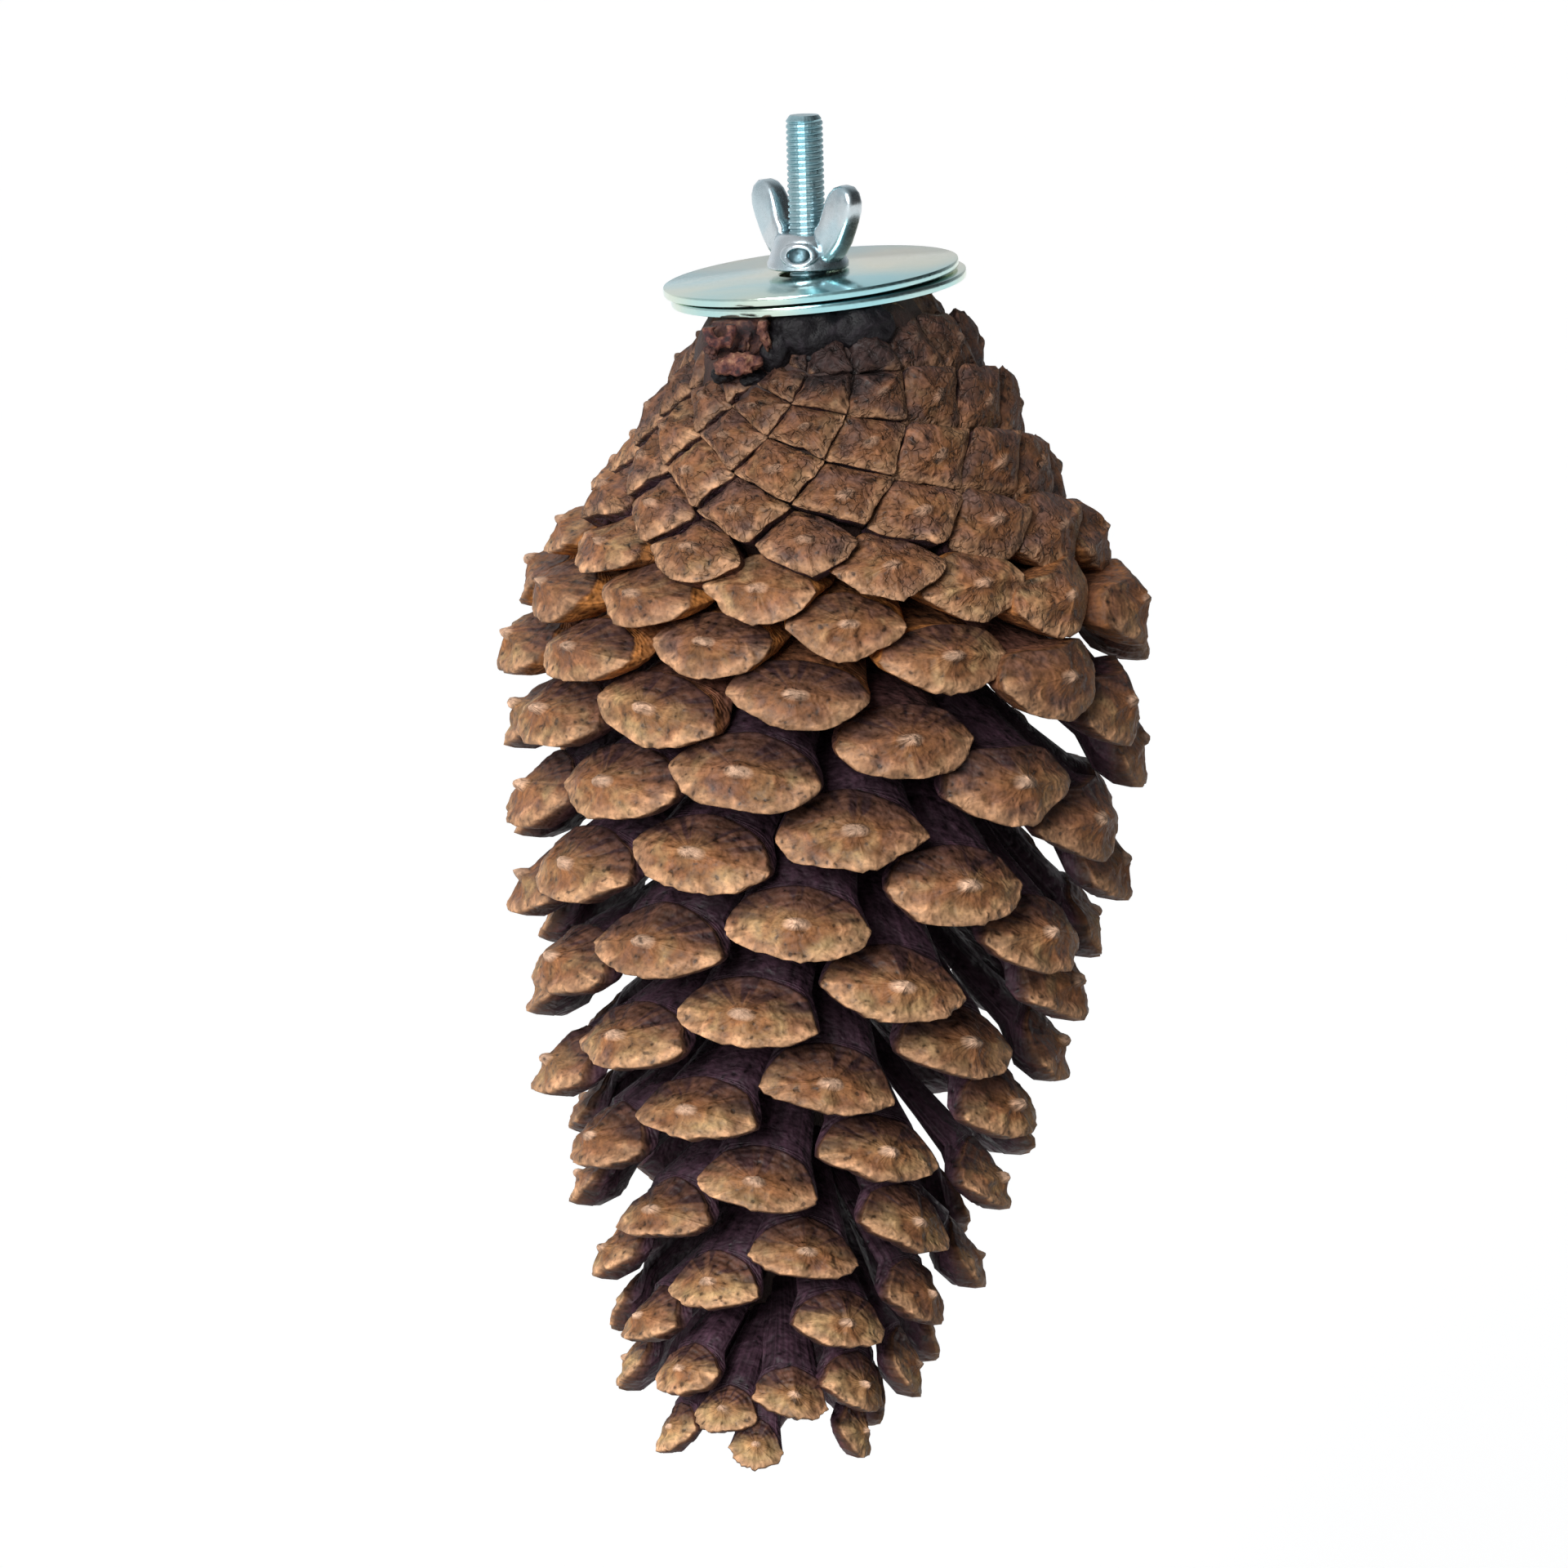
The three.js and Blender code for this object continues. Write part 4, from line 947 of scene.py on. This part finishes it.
def zinc_plate(name, base, tint, tint_size_mm, roughness, scratch_mm):
    """Bright zinc plated steel with clear passivation: near mirror, with drifts of a pale tint and
    fine scratches."""
    material, tree, shader = new_material(name)
    place = add_node(tree, "ShaderNodeTexCoord")
    drift = add_node(tree, "ShaderNodeTexNoise", {"Scale": 1000 / tint_size_mm, "Detail": 2, "Distortion": 0.4},
                     {"Vector": (place, "Object")})
    share = add_node(tree, "ShaderNodeMapRange", {"From Min": 0.38, "From Max": 0.62}, {"Value": (drift, "Fac")})
    colour = add_node(tree, "ShaderNodeMix", {"data_type": "RGBA", 6: base, 7: tint}, {0: (share, 0)})
    tree.links.new(colour.outputs[2], shader.inputs["Base Color"])
    shader.inputs["Metallic"].default_value = 1
    scratches = add_node(tree, "ShaderNodeTexNoise", {"Scale": 1000 / scratch_mm, "Detail": 4, "Roughness": 0.7},
                         {"Vector": (place, "Object")})
    rough = add_node(tree, "ShaderNodeMapRange", {
        "From Min": 0.35, "From Max": 0.7, "To Min": roughness * 0.75, "To Max": roughness * 1.5,
    }, {"Value": (scratches, "Fac")})
    tree.links.new(rough.outputs[0], shader.inputs["Roughness"])
    bump = add_node(tree, "ShaderNodeBump", {"Strength": 0.12, "Distance": 0.00006}, {"Height": (scratches, "Fac")})
    tree.links.new(bump.outputs[0], shader.inputs["Normal"])
    return material


class PINECONE_OT_closed_scales(bpy.types.Operator):
    """Build the closed scales of the upper part of the cone"""

    bl_idname = "pinecone.closed_scales"
    bl_label = "Closed Scales"

    def execute(self, context):
        settings = context.scene.pinecone.cone
        cone = ConeMesh()
        for n in range(FIRST_SCALE, LAST_CLOSED_SCALE + 1):
            cone.add_scale(ClosedScale(n, settings))
        saw_off(cone.bm)
        piece = make_piece("closed_scales", cone.bm, scale_material(settings), "hanger")
        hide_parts("pine_cone")
        return {"FINISHED"}


class PINECONE_OT_open_scales(bpy.types.Operator):
    """Build the parted and open scales of the middle and the tip of the cone"""

    bl_idname = "pinecone.open_scales"
    bl_label = "Open Scales"

    def execute(self, context):
        settings = context.scene.pinecone.cone
        groups = (("parted_scales", 83, 118), ("open_scales", 119, 158), ("tip_scales", 159, LAST_SCALE))
        for name, first, last in groups:
            cone = ConeMesh()
            for n in range(first, last + 1):
                if n not in LOST_SCALES:
                    cone.add_scale(OpenScale(n, settings))
            piece = make_piece(name, cone.bm, scale_material(settings), "hanger")
            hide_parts("pine_cone")
        return {"FINISHED"}


class PINECONE_OT_core(bpy.types.Operator):
    """Build the dark woody core that the scales grow from"""

    bl_idname = "pinecone.core"
    bl_label = "Core"

    def execute(self, context):
        sides, levels = 48, 60
        bm = bmesh.new()
        made = bmesh.ops.create_uvsphere(bm, u_segments=sides, v_segments=levels, radius=1)
        for vert in made["verts"]:
            level = math.acos(min(max(vert.co.z, -1), 1)) / math.pi
            station = -0.015 + (CORE_END + 0.03) * level
            angle = math.atan2(vert.co.y, vert.co.x)
            body = along(KNOB_RADIUS, station) - 4.2
            stalk = along(CORE_RADIUS, station)
            radius = body + (stalk - body) * smoothstep(station, 0.24, 0.3)
            if level < 1e-3 or level > 1 - 1e-3:
                radius = 0
            centre, out, _, _ = ring_frame(station, angle)
            spot = centre + out * radius
            rough = 0.5 * noise.noise(spot * 0.5) if radius else 0
            spot = carved(spot + out * rough, out)[0]
            vert.co = spot
        saw_off(bm)
        material = cone_heartwood(context.scene.pinecone.cone)
        piece = make_piece("cone_core", bm, material, "hanger")
        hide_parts("pine_cone")
        return {"FINISHED"}


class PINECONE_OT_stem_scar(bpy.types.Operator):
    """Build the torn stubs in the scar where the stem broke off"""

    bl_idname = "pinecone.stem_scar"
    bl_label = "Stem Scar"

    # Place from the scar's centre, half lengths, and turn of each torn stub, then of each lump of resin; the last two
    # lumps also paint the shade under the lower stub
    STUBS = (
        ((3.4, -0.2, 1.2), (0.7, 1.2, 2.9), -8),
        ((-0.2, -0.7, -3.1), (3.1, 1.4, 1.5), -6),
        ((-3.5, 0.2, -1.2), (0.9, 1.1, 1.3), 20),
        ((0.8, 1.2, -0.4), (0.8, 1.0, 2.0), 24),
        ((0.3, 3.0, 0.4), (4.4, 2.3, 4.4), 30),
    )
    RESIN_LUMPS_AND_STUB_SHADE = (
        ((9.5, 1.5, 0.6), (5.4, 2.2, 4.0), 8),
        ((15.8, 2.0, 0.8), (4.8, 2.6, 4.0), -14),
        ((5.4, 1.5, -1.2), (2.4, 1.8, 3.4), 24),
        ((11.5, 0.9, -3.0), (3.4, 1.5, 1.5), 5),
        # Dark resin under the stubs, which also paints the shade under the lower stub
        ((-2.4, 1.7, -4.7), (1.5, 1.2, 0.8), 14),
        ((1.9, 1.5, -5.2), (1.8, 1.2, 0.8), -12),
    )
    # The hollow stub of the stem: place, radius, half thickness and tilt of its rim
    STUB_RIM = ((-2.4, -1.2, 1.5), 1.6, 0.7, 68)

    def lumps(self, bm, shapes, roughness):
        for place, halves, turn in shapes:
            made = bmesh.ops.create_icosphere(bm, subdivisions=4, radius=1)
            centre = SCAR_CENTRE + Vector(place)
            matrix = (Matrix.Translation(centre) @ Matrix.Rotation(math.radians(turn), 4, "Y")
                      @ Matrix.Diagonal((*halves, 1)))
            bmesh.ops.transform(bm, matrix=matrix, verts=made["verts"])
            for vert in made["verts"]:
                away = (vert.co - centre).normalized()
                vert.co += away * roughness * noise.fractal(vert.co * 0.6, 0.7, 2.1, 5)

    def stub(self):
        """The rim of the hollow stub, as a torn ring."""
        place, radius, half, tilt = self.STUB_RIM
        rim = bmesh.new()
        turns = [k * math.pi / 4 for k in range(8)]
        spun(rim, [(radius + half * math.cos(a), half * math.sin(a)) for a in turns], 40)
        for vert in rim.verts:
            vert.co *= 1 + 0.3 * noise.fractal(vert.co * 0.8, 0.8, 2.1, 4)
        matrix = (Matrix.Translation(SCAR_CENTRE + Vector(place)) @ Matrix.Rotation(math.radians(tilt), 4, "X"))
        bmesh.ops.transform(rim, matrix=matrix, verts=rim.verts[:])
        return rim

    def execute(self, context):
        settings = context.scene.pinecone.cone
        for name, shapes, roughness, material in (
                ("stem_scar", self.STUBS, 0.75, torn_stem_wood(settings)),
                ("resin_crust", self.RESIN_LUMPS_AND_STUB_SHADE, 0.5, old_resin(settings))):
            bm = bmesh.new()
            self.lumps(bm, shapes, roughness)
            if name == "stem_scar":
                add_mesh(bm, self.stub())
            saw_off(bm)
            piece = make_piece(name, bm, material, "hanger")
            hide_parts("pine_cone")
        return {"FINISHED"}


def scale_material(settings):
    return bpy.data.materials.get("pine_scale_wood") or pine_scale_wood(settings)


def add_mesh(bm, other):
    """Adds a second mesh to the first and frees it."""
    mesh = bpy.data.meshes.new("added")
    other.to_mesh(mesh)
    other.free()
    bm.from_mesh(mesh)
    bpy.data.meshes.remove(mesh)


def spun(bm, profile, steps, closed=True):
    """Turns an outline of (radius, height) points round Z."""
    verts = [bm.verts.new((r, 0, z)) for r, z in profile]
    edges = [bm.edges.new(pair) for pair in zip(verts, verts[1:])]
    if closed:
        edges.append(bm.edges.new((verts[-1], verts[0])))
    bmesh.ops.spin(bm, geom=verts + edges, cent=(0, 0, 0), axis=(0, 0, 1), dvec=(0, 0, 0),
                   angle=2 * math.pi, steps=steps, use_merge=True)
    bmesh.ops.remove_doubles(bm, verts=bm.verts[:], dist=1e-4)


class PINECONE_OT_bolt(bpy.types.Operator):
    """Build the hanger bolt with its machine thread and its wood screw end"""

    bl_idname = "pinecone.bolt"
    bl_label = "Hanger Bolt"

    def thread(self, bm, radius, pitch, bottom, top, steps):
        """A screw thread: one pitch of its profile, spun round and along the bolt."""
        turns = int((top - bottom) / pitch)
        root = radius - THREAD_DEPTH * pitch
        flank = 0.3 * pitch
        profile = [(root, 0), (root, 0.06 * pitch), (radius - 0.03, flank), (radius, flank + 0.08 * pitch),
                   (radius - 0.03, 0.72 * pitch), (root, 0.94 * pitch), (root, pitch)]
        verts = [bm.verts.new((r, 0, bottom + z)) for r, z in profile]
        edges = [bm.edges.new(pair) for pair in zip(verts, verts[1:])]
        bmesh.ops.spin(bm, geom=verts + edges, cent=(0, 0, 0), axis=(0, 0, 1),
                       dvec=(0, 0, pitch / steps), angle=2 * math.pi * turns, steps=steps * turns,
                       use_merge=False)
        bmesh.ops.remove_doubles(bm, verts=bm.verts[:], dist=0.01)

    def execute(self, context):
        settings = context.scene.pinecone.hanger
        radius, pitch = settings.bolt_diameter / MM / 2, settings.thread_pitch / MM
        bm = bmesh.new()
        low = -1.4
        self.thread(bm, radius, pitch, low, BOLT_TOP + pitch, 32)
        for vert in bm.verts:
            # The thread runs out in the chamfer at the end
            limit = 1.95 + (BOLT_TOP - vert.co.z) * 0.75
            reach = math.hypot(vert.co.x, vert.co.y)
            if vert.co.z > BOLT_TOP - 1.2 and reach > limit:
                vert.co.x *= max(limit, 0.6) / reach
                vert.co.y *= max(limit, 0.6) / reach
        bmesh.ops.bisect_plane(bm, geom=bm.verts[:] + bm.edges[:] + bm.faces[:], dist=1e-4,
                               plane_co=(0, 0, BOLT_TOP), plane_no=(0, 0, 1), clear_outer=True)
        bmesh.ops.bisect_plane(bm, geom=bm.verts[:] + bm.edges[:] + bm.faces[:], dist=1e-4,
                               plane_co=(0, 0, low + 1), plane_no=(0, 0, -1), clear_outer=True)
        bmesh.ops.holes_fill(bm, edges=bm.edges[:], sides=0)
        shank = bmesh.new()
        spun(shank, [(0, SCREW_POINT), (0.6, SCREW_POINT + 2.2), (1.9, -27.5), (2.0, -26), (2.0, low + 0.7),
                     (0, low + 0.7)], 32, closed=False)
        add_mesh(bm, shank)
        coarse = bmesh.new()
        self.thread(coarse, 2.45, 2.0, SCREW_POINT + 1, -8, 32)
        for vert in coarse.verts:
            reach = math.hypot(vert.co.x, vert.co.y)
            slim = smoothstep(vert.co.z, SCREW_POINT - 2, -26)
            vert.co.x *= slim
            vert.co.y *= slim
        bmesh.ops.holes_fill(coarse, edges=coarse.edges[:], sides=0)
        add_mesh(bm, coarse)
        material = zinc_plate("zinc_plated_thread", linear("#a6c2c8"), linear("#93bac3"), 9, 0.33, 0.5)
        piece = make_piece("bolt", bm, material, "hanger", smooth=False)
        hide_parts("hanger_bolt")
        return {"FINISHED"}


class PINECONE_OT_washers(bpy.types.Operator):
    """Build the two wide washers that clamp the cage bar"""

    bl_idname = "pinecone.washers"
    bl_label = "Washers"

    def execute(self, context):
        settings = context.scene.pinecone.hanger
        radius, hole = settings.washer_diameter / MM / 2, settings.washer_hole / MM / 2
        half, edge = settings.washer_thickness / MM / 2, 0.16
        places = (("washer_lower", LOWER_WASHER_SHIFT, -WASHER_LIFT, "hanger", "lower_washer"),
                  ("washer_upper", UPPER_WASHER_SHIFT, WASHER_LIFT, "upper_washer", "upper_washer"))
        material = zinc_plate("zinc_plated_washer", tuple(settings.zinc_yellow), tuple(settings.zinc_blue),
                              26, 0.17, 0.6)
        for name, shift, lift, body, node in places:
            bm = bmesh.new()
            spun(bm, [(hole + edge, -half), (radius - 0.35, -half), (radius - 0.08, -half + 0.1),
                      (radius, -half + 0.32), (radius, half - edge), (radius - 0.05, half - 0.05),
                      (radius - edge, half), (hole + edge, half), (hole, half - edge), (hole, -half + edge)], 128)
            matrix = washer_turn().to_4x4() @ Matrix.Translation((shift, 0, lift))
            bmesh.ops.transform(bm, matrix=matrix, verts=bm.verts[:])
            piece = make_piece(name, bm, material, body)
            sharpen(piece, 35)
            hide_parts(node)
        return {"FINISHED"}


def sharpen(piece, angle):
    """Edges steeper than the angle are shaded sharp."""
    piece.data.set_sharp_from_angle(angle=math.radians(angle))


class PINECONE_OT_wing_nut(bpy.types.Operator):
    """Build the wing nut with its hub and its two wings"""

    bl_idname = "pinecone.wing_nut"
    bl_label = "Wing Nut"

    # Wing seen from its broad side: out from the bolt's axis, and up from the nut's base
    WING = ((3.0, 0.9), (5.3, 0.8), (6.6, 1.9), (7.8, 3.4), (8.6, 4.9), (9.3, 6.3), (9.9, 7.8), (10.05, 9.2),
            (9.6, 10.5), (8.7, 11.25), (7.6, 11.4), (6.5, 11.1), (5.6, 10.3), (4.95, 9.2), (4.4, 7.8),
            (3.9, 6.4), (3.0, 5.4))

    def oval(self, bm):
        """The rolled oval lip that the press left on the flank of the hub, wrapped round it."""
        ring = bmesh.new()
        lip = [(1 + 0.3 * math.cos(a), 0.42 * math.sin(a)) for a in (k * math.pi / 4 for k in range(8))]
        spun(ring, lip, 40)
        upright = Matrix.Rotation(math.radians(90), 4, "X") @ Matrix.Diagonal((2.15, 1.3, 1, 1))
        bmesh.ops.transform(ring, matrix=upright, verts=ring.verts[:])
        self.wrap(ring)
        add_mesh(bm, ring)

    def wrap(self, bm):
        """Lays a flat mesh on the flank of the hub."""
        for vert in bm.verts:
            hub = 5.61 - 0.31 * (vert.co.z + OVAL_HEIGHT)
            vert.co.y -= math.sqrt(hub * hub - vert.co.x * vert.co.x)
        place = Matrix.Rotation(math.radians(OVAL_TURN), 4, "Z") @ Matrix.Translation((0, 0, OVAL_HEIGHT))
        bmesh.ops.transform(bm, matrix=place, verts=bm.verts[:])

    def hollow(self):
        """A lens of darker zinc inside the oval lip: painted shade and dark reflection of the hollow."""
        bm = bmesh.new()
        upright = Matrix.Rotation(math.radians(90), 4, "X") @ Matrix.Diagonal((1.6, 0.95, 0.12, 1))
        bmesh.ops.create_uvsphere(bm, u_segments=32, v_segments=12, radius=1, matrix=upright)
        self.wrap(bm)
        bmesh.ops.rotate(bm, cent=(0, 0, 0), matrix=Matrix.Rotation(math.radians(WING_TURN), 3, "Z"),
                         verts=bm.verts[:])
        bmesh.ops.translate(bm, vec=(0, 0, NUT_BOTTOM), verts=bm.verts[:])
        # Darker zinc: painted shade and dark reflection in the hollow of the lip
        material = zinc_plate("zinc_painted_dark_hollow", linear("#4a5f66"), linear("#2e3d42"), 1.5, 0.34, 0.5)
        piece = make_piece("hub_hollow_painted_dark", bm, material, "wing_nut")
        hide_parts("wing_nut")

    def execute(self, context):
        settings = context.scene.pinecone.hanger
        thickness = settings.wing_thickness / MM
        bm = bmesh.new()
        spun(bm, [(2.62, 0.2), (2.9, -0.2), (5.2, -0.2), (5.5, 0), (5.5, 0.7), (5.3, 1), (4.8, 2.6),
                  (4.5, 3.7), (4.1, 4.4), (3.5, 4.7), (2.95, 4.65), (2.62, 4.4)], 64)
        self.oval(bm)
        for turn in (0, math.pi):
            verts = [bm.verts.new((out, -thickness / 2, up)) for out, up in self.WING]
            face = bm.faces.new(verts)
            made = bmesh.ops.extrude_face_region(bm, geom=[face])
            lifted = [v for v in made["geom"] if isinstance(v, bmesh.types.BMVert)]
            bmesh.ops.translate(bm, vec=(0, thickness, 0), verts=lifted)
            wing = verts + lifted
            rims = [e for e in {edge for v in wing for edge in v.link_edges}
                    if abs(e.verts[0].co.y - e.verts[1].co.y) < 1e-6]
            beveled = bmesh.ops.bevel(bm, geom=rims, offset=0.95, offset_type="OFFSET", segments=4, profile=0.5,
                                      affect="EDGES", material=-1, clamp_overlap=True)
            wing = {v for v in beveled["verts"]} | {v for v in wing if v.is_valid}
            wing |= {v for face in list(beveled["faces"]) for v in face.verts}
            for vert in wing:
                # The wing is thick at the hub and thins to its top
                vert.co.y *= 1 + 0.45 * hump(vert.co.x, 2.5, 3.2) - 0.1 * smoothstep(vert.co.z, 5, 11)
            bmesh.ops.rotate(bm, cent=(0, 0, 0), matrix=Matrix.Rotation(turn, 3, "Z"), verts=list(wing))
        bmesh.ops.rotate(bm, cent=(0, 0, 0), matrix=Matrix.Rotation(math.radians(WING_TURN), 3, "Z"),
                         verts=bm.verts[:])
        bmesh.ops.translate(bm, vec=(0, 0, NUT_BOTTOM), verts=bm.verts[:])
        material = zinc_plate("zinc_plated_casting", tuple(settings.zinc_colour), linear("#b9d0d8"), 6, 0.24, 0.9)
        piece = make_piece("nut_with_wings", bm, material, "wing_nut")
        sharpen(piece, 50)
        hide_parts("wing_nut")
        self.hollow()
        return {"FINISHED"}


class PINECONE_OT_stage(bpy.types.Operator):
    """Build the pale floor, the soft studio light and the camera"""

    bl_idname = "pinecone.stage"
    bl_label = "Stage"

    def execute(self, context):
        settings = context.scene.pinecone.stage
        self.floor(settings)
        self.light(context.scene, settings)
        self.camera(context.scene)
        context.scene.view_settings.view_transform = "Standard"
        return {"FINISHED"}

    def floor(self, settings):
        bm = bmesh.new()
        bmesh.ops.create_circle(bm, cap_ends=True, segments=96, radius=14)
        bmesh.ops.translate(bm, vec=(0, 0, settings.floor_height), verts=bm.verts[:])
        mesh = bpy.data.meshes.new("studio_floor")
        bm.to_mesh(mesh)
        bm.free()
        material, tree, shader = new_material("matt_paper_floor")
        place = add_node(tree, "ShaderNodeTexCoord")
        fleck = add_node(tree, "ShaderNodeTexNoise", {"Scale": 60}, {"Vector": (place, "Object")})
        rough = add_node(tree, "ShaderNodeMapRange", {"To Min": 0.85, "To Max": 0.95}, {"Value": (fleck, "Fac")})
        tree.links.new(rough.outputs[0], shader.inputs["Roughness"])
        shader.inputs["Base Color"].default_value = tuple(settings.floor_colour)
        shader.inputs["Emission Color"].default_value = tuple(settings.floor_colour)
        shader.inputs["Emission Strength"].default_value = settings.floor_glow
        mesh.materials.append(material)
        floor = bpy.data.objects.new("studio_floor", mesh)
        bpy.context.scene.collection.objects.link(floor)
        # The floor's glow on the undersides is kept off, as with a floor far below
        floor.visible_diffuse = False

    def light(self, scene, settings):
        sun = bpy.data.lights.new("key_light", "SUN")
        sun.energy = settings.key_strength
        sun.angle = math.radians(32)
        lamp = bpy.data.objects.new("key_light", sun)
        lamp.rotation_euler = (math.radians(66), 0, math.radians(-24))
        scene.collection.objects.link(lamp)
        world = bpy.data.worlds.new("soft_studio")
        world.use_nodes = True
        tree = world.node_tree
        tree.nodes.clear()
        around = add_node(tree, "ShaderNodeTexCoord")
        parts = add_node(tree, "ShaderNodeSeparateXYZ", links={"Vector": (around, "Generated")})
        # Pale walls at the left and the back, a dimmer wall at the right, and little light from below
        wall = add_node(tree, "ShaderNodeMapRange", {"From Min": -0.5, "From Max": 0.75, "To Min": 0.9, "To Max": 0.08},
                        {"Value": (parts, "X")})
        back = add_node(tree, "ShaderNodeMapRange", {"From Min": 0.35, "From Max": 0.85, "To Max": 0.45},
                        {"Value": (parts, "Y")})
        walls = add_node(tree, "ShaderNodeMath", {"operation": "ADD"}, {0: (wall, 0), 1: (back, 0)})
        above = add_node(tree, "ShaderNodeMapRange", {"From Min": -0.3, "From Max": 0.05, "To Min": 0.24, "To Max": 1},
                         {"Value": (parts, "Z")})
        level = add_node(tree, "ShaderNodeMath", {"operation": "MULTIPLY"}, {0: (walls, 0), 1: (above, 0)})
        strength = add_node(tree, "ShaderNodeMath", {"operation": "MULTIPLY", 1: settings.sky_strength},
                            {0: (level, 0)})
        sky = add_node(tree, "ShaderNodeBackground", {"Color": linear("#fbfcff")}, {"Strength": (strength, 0)})
        add_node(tree, "ShaderNodeOutputWorld", links={"Surface": (sky, "Background")})
        scene.world = world

    def camera(self, scene):
        height, roll = math.radians(CAMERA_HEIGHT_ANGLE), math.radians(CAMERA_ROLL)
        look = Vector((0, math.cos(height), -math.sin(height)))
        level_up, level_right = Vector((0, math.sin(height), math.cos(height))), Vector((1, 0, 0))
        right = level_right * math.cos(roll) - level_up * math.sin(roll)
        up = level_up * math.cos(roll) + level_right * math.sin(roll)
        middle = FRAME_PIXELS / 2
        shift_right = (ORIGIN_PIXEL[0] - middle) * MM_PER_PIXEL
        shift_up = (middle - ORIGIN_PIXEL[1]) * MM_PER_PIXEL
        spot = -right * shift_right - up * shift_up - look * CAMERA_DISTANCE
        data = bpy.data.cameras.new("photo_camera")
        data.sensor_width = SENSOR_WIDTH
        data.lens = SENSOR_WIDTH * CAMERA_DISTANCE / (FRAME_PIXELS * MM_PER_PIXEL)
        data.clip_start, data.clip_end = 0.05, 60
        camera = bpy.data.objects.new("photo_camera", data)
        turn = Matrix((right, up, -look)).transposed()
        camera.matrix_world = Matrix.Translation(spot * MM) @ turn.to_4x4()
        scene.collection.objects.link(camera)
        scene.camera = camera


class PINECONE_PT_panel(bpy.types.Panel):
    """Panel with the settings and the pieces of the hanging pine cone"""

    bl_idname = "PINECONE_PT_panel"
    bl_label = "Hanging Pine Cone"
    bl_space_type = "VIEW_3D"
    bl_region_type = "UI"
    bl_category = "Pine Cone"

    def draw(self, context):
        for group in ("cone", "hanger", "stage"):
            box = self.layout.box()
            settings = getattr(context.scene.pinecone, group)
            for name in settings.bl_rna.properties.keys():
                if name not in ("rna_type", "name"):
                    box.prop(settings, name)
        for operator in BUILD_ORDER:
            self.layout.operator(operator.bl_idname)


BUILD_ORDER = (
    PINECONE_OT_stage,
    PINECONE_OT_core,
    PINECONE_OT_closed_scales,
    PINECONE_OT_open_scales,
    PINECONE_OT_stem_scar,
    PINECONE_OT_bolt,
    PINECONE_OT_washers,
    PINECONE_OT_wing_nut,
)
CLASSES = (
    PINECONE_PG_cone,
    PINECONE_PG_hanger,
    PINECONE_PG_stage,
    PINECONE_PG_settings,
    *BUILD_ORDER,
    PINECONE_PT_panel,
)


def register():
    for cls in CLASSES:
        bpy.utils.register_class(cls)
    bpy.types.Scene.pinecone = bpy.props.PointerProperty(type=PINECONE_PG_settings)


def unregister():
    del bpy.types.Scene.pinecone
    for cls in reversed(CLASSES):
        bpy.utils.unregister_class(cls)


def main():
    register()
    for operator in BUILD_ORDER:
        group, name = operator.bl_idname.split(".")
        getattr(getattr(bpy.ops, group), name)()


if __name__ == "__main__":
    main()
